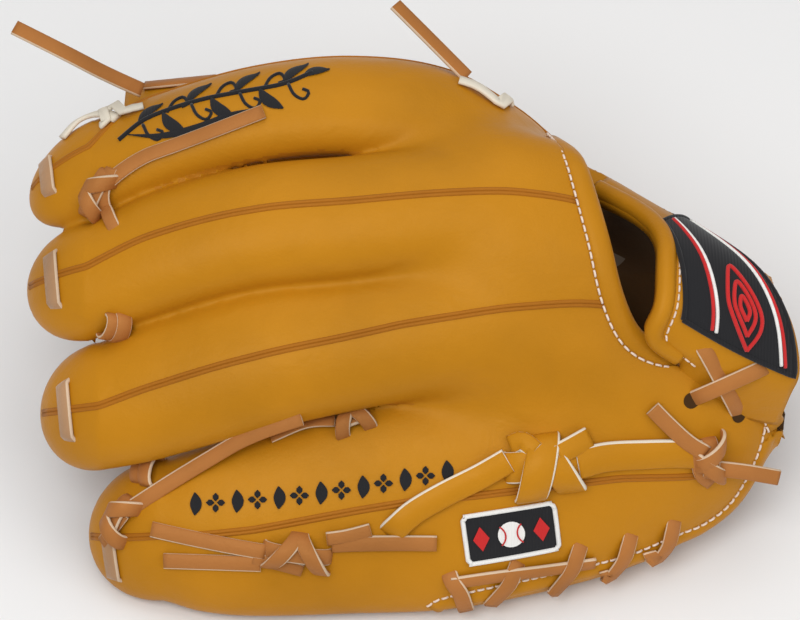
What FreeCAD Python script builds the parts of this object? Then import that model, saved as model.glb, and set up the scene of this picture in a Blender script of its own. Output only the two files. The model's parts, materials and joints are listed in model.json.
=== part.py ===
"""Fielder's baseball glove for the left hand, lying on its pinky edge and thumb edge.

Working frame: X runs from the fingertips to the heel, Y from the pinky side to the
thumb side and Z out of the back of the hand. Every piece is built there in
millimetres and then tipped by REST_TILT and REST_ROLL so that the glove rests on Z = 0.
"""
import FreeCAD
import Part
import math
import os

os.makedirs("parts", exist_ok=True)
V = FreeCAD.Vector

# ---- Driving dimensions, millimetres and degrees ----
LEATHER = 3.0             # shell leather
LINING = 1.2              # inner leather
PAD_THICK = 4.5           # palm felt
LINING_GAP = 2.8          # between shell and lining
SEAM_GAP = 2.0            # between two panels under a welt, degrees of arc
WELT_RADIUS = 1.7
ROLL_RADIUS = 3.6         # padded binding of the hand opening
LACE_WIDTH = 6.5
LACE_THICK = 1.8
WEB_THICK = 4.5
ARC_POINTS = 6            # points along one arc of a section
HEEL_X = 150.0
REST_TILT = 38.7          # about X, back of the hand turns toward -Y
REST_ROLL = 0.0           # about Y

# A stall is an ellipse carried along X. Each row: x, y, z, half width,
# half depth on the back, half depth on the palm, lean of the back from +Z toward +Y.
INDEX = {
    "tip": (-154.6, 47.2, -55.0), "round": 26.0,
    "rows": [(-128, 57.5, -51.5, 24.3, 15.5, 12.0, 36), (-102, 68.5, -48, 24.5, 17, 13, 46),
             (-61, 80, -46, 25.5, 17.5, 14, 50), (-20, 84, -46, 26, 17.5, 16, 50),
             (20, 78, -48, 27, 18, 19, 50), (50, 60, -52, 29, 19, 21, 50),
             (72, 42, -57, 30, 18, 20, 50), (100, 26, -63, 29, 15, 18, 46),
             (130, 8, -66, 24, 12, 14, 40), (HEEL_X, -4, -66, 14, 8, 9, 34)],
}
MIDDLE = {
    "tip": (-154.6, 8.2, -43.0), "round": 26.0,
    "rows": [(-128, 11.5, -32, 24.5, 16, 12, 12), (-102, 22.4, -27, 26.5, 17.5, 13.5, 18),
             (-61, 33.6, -21, 26.5, 18, 14.5, 20), (-20, 37.7, -19, 26.5, 18, 17, 20),
             (20, 41.6, -19, 27, 18.5, 24, 18), (50, 42, -21, 29, 19, 28, 17),
             (80, 36, -26, 30, 18.5, 27, 17), (105, 22, -38, 30, 14, 22, 14),
             (130, 8, -48, 28, 10, 16, 12), (HEEL_X, -4, -54, 18, 8, 9, 10)],
}
RING = {
    "tip": (-149.2, -43.0, -44.0), "round": 26.0,
    "rows": [(-123, -39.7, -30.5, 26.3, 16.5, 12.5, 2), (-102, -32.6, -26, 29.5, 17.5, 13.5, 4),
             (-61, -20.9, -19.5, 30, 18, 14.5, 5), (-20, -13.6, -18, 28, 18, 17, 5),
             (20, -5.8, -18, 28.5, 18.5, 24, 3), (50, -1, -20, 30, 19, 29, 2),
             (85, 1, -25, 30, 18.5, 28, 0), (105, -8, -34, 30, 16, 24, 0),
             (130, -16, -42, 28, 12, 18, -4), (HEEL_X, -22, -48, 18, 8, 10, -8)],
}
PINKY = {
    "tip": (-129.6, -93.5, -52.0), "round": 31.0,
    "rows": [(-98, -91, -41, 29.5, 16.5, 13, -6), (-82, -90.4, -38, 34.5, 17.5, 13.5, -6),
             (-61, -88.2, -36, 38.5, 18, 14.5, -6), (-20, -82.9, -34, 43, 18, 17, -8),
             (20, -78.5, -34, 46, 18.5, 22, -10), (60, -70, -35, 48, 19, 24, -14),
             (100, -60.5, -37, 48, 18, 22, -22), (123, -57, -40, 40, 16, 18, -26),
             (143, -54, -45, 25, 13, 14, -28), (156, -46, -50, 11, 9, 9, -28)],
}
THUMB = {
    "tip": (-86.0, 62.0, -140.0), "round": 30.0,
    "rows": [(-56, 60, -140, 31, 16, 13, 135), (-20, 56, -139, 33, 17, 14, 135),
             (20, 49, -135, 34, 17, 15, 135), (60, 38, -127, 32, 17, 15, 133),
             (100, 20, -116, 26, 15, 13, 128), (130, 4, -106, 18, 12, 10, 124),
             (HEEL_X, -6, -98, 10, 8, 7, 120)],
}
# Where each welt runs round its stall: (x, degrees from the back toward the thumb side).
WELTS = {
    "index": [(-150, 0), (-129, 4), (-105, 52), (80, 58)],
    "middle": [(-150, 2), (-125, 8), (-60, 2), (90, 0)],
    "ring": [(-150, 0), (-60, 0), (0, 5), (95, 2)],
    "pinky": [(-125, 0), (-60, 0), (10, 7), (90, 0), (150, -12)],
    "thumb": [(-82, 0), (150, 0)],
}
# The fold that the glove closes about, from the heel to the end of the web.
CREASE_HEEL = (150.0, 0.0, -86.0)
CREASE_WEB = (-120.0, 72.0, -92.0)
FOLD_OUT = (0.0, 0.937, 0.349)     # from the crease to the outside of the fold
FOLD_DOWN = (0.0, 0.349, -0.937)   # from the finger side to the thumb side
FOLD_MIDDLE = 20.0                 # degrees, middle of the clearance wedge
FOLD_CLEAR = 11.5                  # degrees, half of the clearance wedge
SIDE_SEAM = 97.0                   # degrees round a stall where the back ends
PALM_SEAM = 99.5                   # degrees round a stall where the palm begins
FOLD_RADIUS = [(-116, 22), (-60, 44), (0, 54), (60, 46), (112, 24)]   # (x, crease to leather)
RIM_X = -76.0                      # thumb end of the web's rim
RIM_ANGLES = [(-116, 38.0), (RIM_X, 70.0)]   # (x, angle of the rim about the crease)


# ---- Stall geometry ----
def cubic(table, x):
    """Row of a station table at x, by a cubic through its neighbours."""
    last = len(table) - 1
    k = 0
    while k < last - 1 and x > table[k + 1][0]:
        k += 1
    before, start, end, after = table[max(k - 1, 0)], table[k], table[k + 1], table[min(k + 2, last)]
    span = end[0] - start[0]
    t = min(max((x - start[0]) / span, 0.0), 1.0)
    row = []
    for i in range(1, len(start)):
        rise_start = (end[i] - before[i]) / (end[0] - before[0]) * span
        rise_end = (after[i] - start[i]) / (after[0] - start[0]) * span
        row.append(start[i] * (2 * t**3 - 3 * t**2 + 1) + rise_start * (t**3 - 2 * t**2 + t)
                   + end[i] * (3 * t**2 - 2 * t**3) + rise_end * (t**3 - t**2))
    return row


def linear(table, x):
    """Value of a two-column table at x."""
    if x <= table[0][0]:
        return table[0][1]
    for (x0, v0), (x1, v1) in zip(table, table[1:]):
        if x <= x1:
            return v0 + (v1 - v0) * (x - x0) / (x1 - x0)
    return table[-1][1]


def section(stall, x):
    """y, z, half width, back depth, palm depth and lean of a stall at x, with a round tip."""
    tip_x, tip_y, tip_z = stall["tip"]
    past_tip = (x - tip_x) / stall["round"]
    if past_tip >= 1.0:
        return cubic(stall["rows"], x)
    y, z, width, back, palm, lean = cubic(stall["rows"], stall["rows"][0][0])
    swell = math.sqrt(max(1.0 - (1.0 - past_tip)**2, 0.0))
    return [tip_y + (y - tip_y) * past_tip, tip_z + (z - tip_z) * past_tip,
            width * swell, back * swell, palm * swell, lean]


def on_stall(stall, x, angle, inset=0.0):
    """Point on a stall's surface, or that far under it."""
    y, z, width, back, palm, lean = section(stall, x)
    turn, tilt = math.radians(angle), math.radians(lean)
    depth = back if math.cos(turn) >= 0 else palm
    inset = min(inset, 0.6 * depth, 0.6 * width)
    across = (width - inset) * math.sin(turn)
    out = (depth - inset) * math.cos(turn)
    return V(x, y + across * math.cos(tilt) + out * math.sin(tilt),
             z - across * math.sin(tilt) + out * math.cos(tilt))


def reach(stall, point):
    """How far out of a stall's axis a point lies: 1 on the surface, less inside."""
    if point.x < stall["tip"][0] + 0.5:
        return 9.0
    y, z, width, back, palm, lean = section(stall, point.x)
    tilt = math.radians(lean)
    dy, dz = point.y - y, point.z - z
    across = dy * math.cos(tilt) - dz * math.sin(tilt)
    out = dy * math.sin(tilt) + dz * math.cos(tilt)
    depth = back if out >= 0 else palm
    return math.hypot(across / width, out / depth)


def valley(stall, neighbour, x, start, stop):
    """Angle round a stall, from start toward stop, at which it has just entered its neighbour."""
    steps = int(abs(stop - start))
    for k in range(steps + 1):
        angle = start + (stop - start) * k / steps
        if reach(neighbour, on_stall(stall, x, angle)) < 0.93:
            return angle
    return stop


def angle_at_y(stall, x, y, start, stop):
    """Angle round a stall, from start toward stop, at which its surface reaches y."""
    sign = 1 if on_stall(stall, x, stop).y > on_stall(stall, x, start).y else -1
    for k in range(91):
        angle = start + (stop - start) * k / 90.0
        if sign * (on_stall(stall, x, angle).y - y) >= 0:
            return angle
    return stop


def back_height(x, y):
    """Height of the back of the glove over a point."""
    best = -200.0
    for stall in (INDEX, MIDDLE, RING, PINKY):
        for angle in range(-96, 97, 2):
            p, q = on_stall(stall, x, angle), on_stall(stall, x, angle + 2)
            if min(p.y, q.y) <= y <= max(p.y, q.y) and max(p.z, q.z) > best:
                share = (y - p.y) / (q.y - p.y) if abs(q.y - p.y) > 1e-6 else 0.0
                best = p.z + (q.z - p.z) * share
    return best


def tip_stations(stall, nearest=0.05):
    """x of the stations that round a fingertip."""
    return [stall["tip"][0] + stall["round"] * share for share in (nearest, 0.14, 0.32, 0.62)]


# ---- Solids ----
def smooth_edge(points):
    """Edge of one spline through points."""
    curve = Part.BSplineCurve()
    curve.interpolate(points)
    return curve.toShape()


def band_wire(outer, inner):
    """Closed wire from an outer arc, an inner arc and the two ends."""
    back = list(reversed(inner))
    return Part.Wire([smooth_edge(outer), Part.makeLine(outer[-1], back[0]),
                      smooth_edge(back), Part.makeLine(back[-1], outer[0])])


def stall_band(stall, stations, start, stop, inset=0.0, thick=LEATHER):
    """Leather band on a stall between two angles, which may be functions of x."""
    wires = []
    for x in stations:
        a, b = start(x), stop(x)
        angles = [a + (b - a) * k / (ARC_POINTS - 1) for k in range(ARC_POINTS)]
        wires.append(band_wire([on_stall(stall, x, t, inset) for t in angles],
                               [on_stall(stall, x, t, inset + thick) for t in angles]))
    return Part.makeLoft(wires, True, False)


def ellipse_wire(stall, x, inset):
    """Closed smooth wire round a stall, under its surface."""
    points = [on_stall(stall, x, 30 * k, inset) for k in range(12)]
    curve = Part.BSplineCurve()
    curve.interpolate(points, PeriodicFlag=True)
    return Part.Wire(curve.toShape())


def stall_tube(stall, stations, inset, thick):
    """Closed tube inside a stall, open at the hand end."""
    outer = Part.makeLoft([ellipse_wire(stall, x, inset) for x in stations], True, False)
    inner_stations = [stations[0] + thick] + stations[1:-1] + [stations[-1] + 1.0]
    inner = Part.makeLoft([ellipse_wire(stall, x, inset + thick) for x in inner_stations],
                          True, False)
    return outer.cut(inner)


def round_pipe(points, radius):
    """Round cord swept along a smooth path."""
    path = Part.Wire(smooth_edge(points))
    direction = path.Edges[0].tangentAt(path.Edges[0].FirstParameter)
    ring = Part.Wire(Part.makeCircle(radius, points[0], direction))
    return path.makePipeShell([ring], True, False)


def plate_wire(centre, along, normal, width, thick):
    """Rectangle across a strip, square to its direction."""
    along = V(along).normalize()
    side = along.cross(normal).normalize()
    up = side.cross(along).normalize()
    corners = [centre + side * (width / 2 * i) + up * (thick / 2 * j)
               for i, j in ((-1, -1), (1, -1), (1, 1), (-1, 1))]
    return Part.makePolygon(corners + corners[:1])


def strip(points, normals, width=LACE_WIDTH, thick=LACE_THICK):
    """Flat strip through points; normals are the directions that its flat side faces."""
    wires = []
    last = len(points) - 1
    for k, point in enumerate(points):
        along = points[min(k + 1, last)] - points[max(k - 1, 0)]
        wires.append(plate_wire(point, along, normals[k], width, thick))
    return Part.makeLoft(wires, True, False)


def knot(centre, along, normal, length, width, height):
    """Half hitch as one rounded block."""
    along = V(along).normalize()
    side = along.cross(normal).normalize()
    up = side.cross(along).normalize()
    ball = Part.makeSphere(0.5)
    matrix = FreeCAD.Matrix(along.x * length, side.x * width, up.x * height, centre.x,
                            along.y * length, side.y * width, up.y * height, centre.y,
                            along.z * length, side.z * width, up.z * height, centre.z,
                            0, 0, 0, 1)
    return ball.transformGeometry(matrix)


def fused(solids):
    """One solid from several that meet."""
    shape = solids[0]
    for other in solids[1:]:
        shape = shape.fuse(other)
    return shape


# ---- Back panels and welts ----
FINGER_RUN = [-116, -102, -82, -61, -41, -20, 0, 20, 40, 55]


def run(stall, last, first_share=0.05):
    """Stations from a fingertip to the hand end of a panel."""
    tips = tip_stations(stall, first_share)
    return tips + [x for x in FINGER_RUN if tips[-1] + 8 < x < last - 8] + [last]


def back_quarter(stall, welt, neighbour, side, last):
    """Half of a stall's back, from its welt to the valley beside it."""
    table = WELTS[welt]
    first = lambda x: linear(table, x) + side * SEAM_GAP
    end = lambda x: valley(stall, neighbour, x, first(x) + side * 6, side * SIDE_SEAM)
    if side > 0:
        return stall_band(stall, run(stall, last), first, end)
    return stall_band(stall, run(stall, last), end, first)


def index_outer_panel():
    """Back of the index stall between its welt and the web edge."""
    table = WELTS["index"]
    return stall_band(INDEX, run(INDEX, 69.0), lambda x: linear(table, x) + SEAM_GAP,
                      lambda x: max(SIDE_SEAM, linear(table, x) + 30))


def index_middle_panel():
    """Forked panel on the inner half of the index and the outer half of the middle."""
    return fused([back_quarter(INDEX, "index", MIDDLE, -1, 71.0),
                  back_quarter(MIDDLE, "middle", INDEX, 1, 76.0)])


def middle_ring_panel():
    """Forked panel between the middle and the ring welts."""
    return fused([back_quarter(MIDDLE, "middle", RING, -1, 79.0),
                  back_quarter(RING, "ring", MIDDLE, 1, 84.0)])


def flap_edge(x):
    """y of the hand-opening edge on the pinky side of the back."""
    return linear([(84, -5), (92, -14), (105, -21.5), (120, -23.5), (144, -33), (152, -44)], x)


def pinky_inner_quarter():
    """Inner half of the pinky back, which runs on to the heel as the flap."""
    table = WELTS["pinky"]
    stations = run(PINKY, 60.0) + [78, 92, 106, 120, 134, 146]

    def end(x):
        near = linear(table, x) + 6
        if x < 86:
            return valley(PINKY, RING, x, near, SIDE_SEAM)
        return angle_at_y(PINKY, x, flap_edge(x), near, 88.0)
    return stall_band(PINKY, stations, lambda x: linear(table, x) + SEAM_GAP, end)


def ring_pinky_panel():
    """Forked panel between the ring and the pinky welts, with the flap."""
    return fused([back_quarter(RING, "ring", PINKY, -1, 87.0), pinky_inner_quarter()])


def pinky_outer_panel():
    """Back of the pinky stall outside its welt, out to the edge binding."""
    table = WELTS["pinky"]
    stations = run(PINKY, 60.0) + [80, 100, 116, 132, 146]
    return stall_band(PINKY, stations, lambda x: -SIDE_SEAM,
                      lambda x: linear(table, x) - SEAM_GAP)


def welt(stall, name, last):
    """Rolled welt that stands up along a seam."""
    stations = run(stall, last)
    return round_pipe([on_stall(stall, x, linear(WELTS[name], x), 0.4) for x in stations],
                      WELT_RADIUS)


# ---- Palm side ----
def palm_band(stall, thumb_side, pinky_side, stations):
    """Palm half of a stall, between the valleys with its neighbours."""
    def start(x):
        if thumb_side is None:
            return PALM_SEAM
        return valley(stall, thumb_side, x, 180, PALM_SEAM)

    def stop(x):
        if pinky_side is None:
            return 360 - PALM_SEAM
        return valley(stall, pinky_side, x, 180, 360 - PALM_SEAM)
    return stall_band(stall, stations, start, stop)


def palm_shell():
    """Palm leather of the four fingers down to the heel."""
    heel = [72, 88, 104, 120, 136, 148]
    return fused([palm_band(PINKY, RING, None, run(PINKY, 60.0) + heel),
                  palm_band(RING, MIDDLE, PINKY, run(RING, 60.0) + heel),
                  palm_band(MIDDLE, INDEX, RING, run(MIDDLE, 60.0) + heel),
                  palm_band(INDEX, None, MIDDLE, run(INDEX, 60.0) + heel)])


def finger_lining(stall):
    """Inner glove leather of one finger."""
    stations = [stall["tip"][0] + stall["round"] * s for s in (0.3, 0.5, 0.8)]
    stations += [x for x in FINGER_RUN if stations[-1] + 8 < x < 0] + [4.0]
    return stall_tube(stall, stations, LEATHER + LINING_GAP, LINING)


def cross_band(rows, thick):
    """Band across the hand: each row is x and its (y, z) points from pinky to thumb side."""
    wires = []
    for x, points in rows:
        outer = [V(x, y, z) for y, z in points]
        inner = [V(x, y, z - thick) for y, z in points]
        wires.append(band_wire(outer, inner))
    return Part.makeLoft(wires, True, False)


def palm_lining():
    """Leather that the palm of the hand rests on."""
    rows = [(42, [(-92, -29), (-60, -28), (-10, -26), (32, -28), (44, -32)]),
            (66, [(-88, -31), (-58, -30), (-12, -29), (26, -32), (38, -37)]),
            (90, [(-82, -36), (-55, -33), (-14, -33), (16, -37), (28, -44)]),
            (120, [(-72, -44), (-50, -42), (-20, -42), (0, -46), (12, -53)]),
            (142, [(-56, -48), (-45, -47), (-26, -47), (-14, -50), (-4, -55)])]
    return cross_band(rows, LINING)


def palm_pad():
    """Felt between the lining and the palm leather."""
    rows = [(54, [(-18, -30.5), (-8, -30), (8, -30), (24, -31.5), (34, -34)]),
            (72, [(-18, -31.5), (-8, -31), (8, -31.5), (20, -33.5), (30, -37)]),
            (92, [(-20, -35.5), (-8, -35.5), (6, -36.5), (14, -39), (22, -43)]),
            (118, [(-24, -44), (-14, -44), (-8, -44.5), (-2, -46.5), (4, -50)])]
    return cross_band(rows, PAD_THICK)


def pinky_stay():
    """Stiff felt bar in the outer edge of the pinky."""
    stations = [10, 28, 46, 66, 86]
    wires = []
    for x in stations:
        centre = on_stall(PINKY, x, -88, 9.0)
        wires.append(plate_wire(centre, V(1, 0, 0), V(0, 1, 0), 11.0, 5.0))
    return Part.makeLoft(wires, True, False)


# ---- Bindings ----
BACK_EDGE = [(62, 72), (67, 66), (72.5, 46), (78, 25), (82.5, 5), (91, -13.5), (104, -21.5),
             (120, -24), (137, -30), (148, -40), (151, -50)]


def back_binding():
    """Padded roll along the back edge of the hand opening."""
    points = [V(x, y, back_height(min(x, 148), y) - 0.5) for x, y in BACK_EDGE[1:]]
    return round_pipe(points, ROLL_RADIUS)


def heel_binding():
    """Folded binding from the pinky edge round the heel."""
    points = [on_stall(PINKY, x, -98, 0.6) for x in (10, 40, 70, 100, 120, 136, 150)]
    return round_pipe(points, 2.2)


# ---- Fold, web and crotch ----
def crease_point(x):
    """Point of the crease at x."""
    share = (x - CREASE_HEEL[0]) / (CREASE_WEB[0] - CREASE_HEEL[0])
    return V(*[h + (w - h) * share for h, w in zip(CREASE_HEEL, CREASE_WEB)])


def polar(point):
    """Radius and angle of a point about the crease, angle from outward toward the thumb."""
    offset = point - crease_point(point.x)
    out, down = offset.dot(V(*FOLD_OUT)), offset.dot(V(*FOLD_DOWN))
    return math.hypot(out, down), math.degrees(math.atan2(down, out))


def about_crease(x, radius, angle):
    """Point at that radius and angle about the crease."""
    turn = math.radians(angle)
    return crease_point(x) + V(*FOLD_OUT) * (radius * math.cos(turn)) \
        + V(*FOLD_DOWN) * (radius * math.sin(turn))


def fold_edge(stall, x, angle_on_stall):
    """Radius and angle about the crease at which the fold leather starts."""
    if stall is THUMB and x < RIM_X:
        return linear(FOLD_RADIUS, x), linear(RIM_ANGLES, x)
    return polar(on_stall(stall, x, angle_on_stall, 1.0))


def fold_band(stall, angle_on_stall, stations, side, thick):
    """Leather from the edge of a stall to one side of the clearance wedge."""
    wires = []
    for x in stations:
        radius, edge = fold_edge(stall, x, angle_on_stall)
        end_radius = linear(FOLD_RADIUS, x)
        end = FOLD_MIDDLE + side * FOLD_CLEAR
        start = edge + side * 3.0
        if side * (start - end) < 6.0:
            start = end + side * 6.0
        outer, inner = [], []
        for k in range(4):
            share = k / 3.0
            r = radius + (end_radius - radius) * share
            a = start + (end - start) * share
            outer.append(about_crease(x, r + thick / 2, a))
            inner.append(about_crease(x, r - thick / 2, a))
        wires.append(band_wire(outer, inner))
    return Part.makeLoft(wires, True, False)


WEB_RUN = [-116, -104, -92, -78, -62, -46, -32]
CROTCH_RUN = [-28, -8, 15, 40, 65, 90, 110]


# ---- Strap ----
# Each row: the strap's edge beside the opening, then its far edge.
STRAP_ROWS = [((115, -17, -4), (158, -31, -16)), ((100, -9, 2), (162, -23, -13)),
              ((103, 2, 4), (159, -5, -8)), ((104, 17, 0), (147, 14, -14)),
              ((104, 28, -10), (124, 30.5, -32)), ((97, 37, -26), (107, 40.5, -50)),
              ((80, 46, -44), (88, 53, -60))]


def strap_middle(k):
    """Point halfway across the strap at one row."""
    near, far = STRAP_ROWS[k]
    return (V(*near) + V(*far)) * 0.5


def strap_section(k, low, high, near, far):
    """Rectangle across the strap; low..high through it, near..far as shares of its width."""
    centre = strap_middle(k)
    across = V(*STRAP_ROWS[k][1]) - centre
    last = len(STRAP_ROWS) - 1
    along = strap_middle(min(k + 1, last)) - strap_middle(max(k - 1, 0))
    up = across.cross(along).normalize()
    corners = [centre + across * s + up * h
               for s, h in ((near, low), (far, low), (far, high), (near, high))]
    return Part.makePolygon(corners + corners[:1])


def strap_piece(low, high, near=-1.0, far=1.0, first=0, last=None):
    """Layer of the strap over part of its length and width."""
    stop = len(STRAP_ROWS) if last is None else last + 1
    return Part.makeLoft([strap_section(k, low, high, near, far) for k in range(first, stop)],
                         True, True)


# ---- Laces ----
def on_back(stall, x, angle, lift=1.2):
    """Point just over a stall."""
    return on_stall(stall, x, angle, -lift)


def out_of(stall, x, angle):
    """Direction straight out of a stall."""
    return (on_stall(stall, x, angle, -1.0) - on_stall(stall, x, angle, 0.0)).normalize()


def stall_strip(stall, route, lift=1.2, width=LACE_WIDTH, thick=LACE_THICK):
    """Strip that lies on a stall; the route is (x, angle) pairs."""
    points = [on_back(stall, x, angle, lift) for x, angle in route]
    return strip(points, [out_of(stall, x, angle) for x, angle in route], width, thick)


def cord_solid(route, facing):
    """Flat cord of straight runs joined by tangent arcs, flat side toward facing."""
    points = [V(*p) for p in route]
    edges = []
    start = points[0]
    for before, corner, after in zip(points, points[1:], points[2:]):
        into, away = corner - before, after - corner
        turn = into.getAngle(away)
        shorter = min(into.Length, away.Length)
        radius = 0.45 * shorter / math.tan(turn / 2)
        cut = 0.45 * shorter
        first = corner - V(into).normalize() * cut
        second = corner + V(away).normalize() * cut
        bisector = (V(away).normalize() - V(into).normalize()).normalize()
        centre = corner + bisector * math.hypot(radius, cut)
        middle = centre - bisector * radius
        edges += [Part.makeLine(start, first), Part.Arc(first, middle, second).toShape()]
        start = second
    edges.append(Part.makeLine(start, points[-1]))
    path = Part.Wire(edges)
    profile = plate_wire(points[0], points[1] - points[0], V(*facing), LACE_WIDTH, LACE_THICK)
    sweep = Part.BRepOffsetAPI.MakePipeShell(path)
    sweep.setBiNormalMode(V(*facing))
    sweep.add(profile)
    sweep.build()
    sweep.makeSolid()
    return sweep.shape()


# Free lace tails: node, route in the working frame, direction that the flat side faces.
CORDS = [
    ("cord_index_tail", [(-125, 48, -29.5), (-112, 61, -27), (-88, 69, -23.8), (-56, 81.5, -23.3)],
     (0.0, 0.5, 0.87)),
    ("cord_web_tip_tail", [(-108, 92, -62), (-122, 98, -58), (-139, 107, -55), (-161, 118, -57)],
     (0.1, 0.3, 0.95)),
    ("cord_web_base_tail", [(28, 97, -49.5), (13, 112, -47), (-2, 127, -48.5)], (0.5, 0.3, 0.8)),
    ("cord_pinky_tip_tail", [(-113, -83, -30), (-98, -73, -24.5), (-80, -62, -20.5),
                             (-60, -50, -12.5), (-40, -44, -9)], (0.0, 0.0, 1.0)),
    ("cord_pinky_tail_upper", [(-55, -99, -17), (-75, -96, -18.5), (-102, -90, -24)],
     (0.0, -0.15, 1.0)),
    ("cord_pinky_tail_lower", [(-57, -104, -18.8), (-72, -103.5, -19.6), (-97, -103, -24.2)],
     (0.0, -0.25, 1.0)),
    ("cord_pinky_tail_right", [(-28, -96, -16.6), (-12, -95, -16.2), (15, -95.5, -17.2)],
     (0.0, -0.2, 1.0)),
]


def tip_lace():
    """Lace that runs across the four fingertips and dips inside between them."""
    points, normals = [], []
    for stall, x in ((INDEX, -145), (MIDDLE, -142), (RING, -136), (PINKY, -117)):
        for angle in (72, 40, 0, -40, -72):
            inside = abs(angle) > 60
            points.append(on_stall(stall, x, angle, 4.0 if inside else -1.4))
            normals.append(V(0, 0, 1) if inside else out_of(stall, x, angle))
    return strip(points, normals)


def gap_loop(stall, neighbour, x, width):
    """Loop that ties two neighbouring stalls together near their tips."""
    a, b = on_back(stall, x, -62, 1.2), on_back(neighbour, x, 62, 1.2)
    middle = (a + b) * 0.5
    return knot(middle, V(0, 1, 0.05), V(0, 0, 1), width, 11.0, 9.0)


def heel_whip_lace():
    """Lace whipped over the binding along the pinky edge, under five wraps."""
    run_xs = [18, 32, 50, 68, 84, 102, 114]
    angles = [-70, -72, -76, -78, -80, -82, -84]
    core = stall_strip(PINKY, list(zip(run_xs, angles)), 1.3)
    parts = [core]
    for x in (25, 42, 66, 90, 110):
        start = linear(list(zip(run_xs, angles)), x)
        route = [(x - 2, start + 14), (x, start - 4), (x + 2, start - 22)]
        parts.append(stall_strip(PINKY, route, 1.8, 8.0, 2.6))
    return fused(parts)


def adjusting_strap():
    """Shell-leather strap on the pinky with its knot."""
    left = stall_strip(PINKY, [(2, -11), (20, 2), (45, 10)], 2.0, 11.0, 3.0)
    middle = knot(on_back(PINKY, 61, 14, 3.0), V(1, 0.2, 0), V(0, 0, 1), 36, 26, 9)
    right = stall_strip(PINKY, [(70, 13), (86, 12), (104, 11), (118, 11)], 2.0, 11.0, 3.0)
    return fused([left, middle, right])


def corner_knot():
    """Lace knot at the end of the adjusting strap, with its two short ends."""
    body = knot(on_back(PINKY, 129, 12, 3.5), V(0.3, 1, 0), V(0, 0, 1), 24, 17, 9)
    up = stall_strip(PINKY, [(124, 20), (112, 36), (102, 48)], 2.0)
    out = stall_strip(PINKY, [(131, 4), (142, -2), (152, -14)], 2.4)
    return fused([body, up, out])


def cross_lace():
    """Crossed lace on the flap, through four holes."""
    first = stall_strip(PINKY, [(123, 54), (133, 40), (140, 20)], 1.2)
    second = stall_strip(PINKY, [(120, 32), (134, 42), (146, 66)], 2.6)
    return fused([first, second])


def badge():
    """Woven badge on the outer face of the pinky."""
    return stall_band(PINKY, [26, 38, 50, 64], lambda x: -66.0, lambda x: -28.0, -1.6, 1.4)


def embroidered_row(stall, stations, start, stop):
    """Raised thread of an embroidered figure."""
    return stall_band(stall, stations, lambda x: start, lambda x: stop, -0.9, 0.7)


def thumb_back(side):
    """Half of the thumb's back, on one side of its welt."""
    stations = run(THUMB, 60.0) + [84, 108, 128, 146]
    if side > 0:
        return stall_band(THUMB, stations, lambda x: SEAM_GAP, lambda x: SIDE_SEAM)
    return stall_band(THUMB, stations, lambda x: -SIDE_SEAM, lambda x: -SEAM_GAP)


def thumb_palm():
    """Palm half of the thumb."""
    stations = run(THUMB, 60.0) + [84, 108, 128, 146]
    return stall_band(THUMB, stations, lambda x: PALM_SEAM, lambda x: 360 - PALM_SEAM)


def thumb_lining():
    """Inner glove leather of the thumb, open at the heel."""
    stations = [THUMB["tip"][0] + THUMB["round"] * s for s in (0.3, 0.6)]
    return stall_tube(THUMB, stations + [-40, -10, 20, 50, 80, 110, 136],
                      LEATHER + LINING_GAP, LINING)


def thumb_stay():
    """Stiff felt bar along the outer edge of the thumb."""
    wires = []
    for x in (-50, -20, 20, 60, 90):
        centre = on_stall(THUMB, x, 88, 9.5)
        wires.append(plate_wire(centre, V(1, 0, 0), V(0, -0.7, 0.7), 3.0, 9.0))
    return Part.makeLoft(wires, True, False)


def index_knot():
    """Lace knot between the index and middle tips."""
    return knot(V(-122, 48, -37), V(0.5, 1, 0.1), V(0, 0, 1), 20, 11, 10)


def ring_pinky_knot():
    """Lace knot over the valley of the ring and pinky, with its thin end."""
    body = knot(V(-19, -46, -18), V(1, 0.5, 0), V(0, 0, 1), 16, 9, 9)
    end = strip([V(-23, -45.5, -18), V(-38, -48, -19), V(-53, -53, -19.5)], [V(0, -0.7, 0.7)] * 3,
                4.0, 1.8)
    return fused([body, end])


def pinky_tip_knot():
    """Lace knot on the tip of the pinky."""
    return knot(V(-114, -86, -30), V(0.6, 1, 0.1), V(-0.3, 0, 1), 19, 12, 9)


def pinky_double_knot():
    """Lace knot on the back of the pinky that the paired tails leave."""
    return knot(V(-40, -99, -16), V(1, -0.15, 0), V(0, -0.3, 1), 30, 17, 9)


def web_strip(stations, lift, angle):
    """Lace laid along the fold leather at one angle about the crease."""
    points, normals = [], []
    for x in stations:
        radius = linear(FOLD_RADIUS, x)
        points.append(about_crease(x, radius + lift, angle))
        normals.append((about_crease(x, radius + 1, angle) - about_crease(x, radius, angle)).normalize())
    return strip(points, normals)


def web_lace():
    """Lace along the index side of the web."""
    return web_strip((-108, -98, -88, -78), 5.0, -4)


def web_thumb_lace():
    """Lace that ties the web to the thumb."""
    return web_strip((-70, -60, -50, -40), 5.0, 50)


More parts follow.
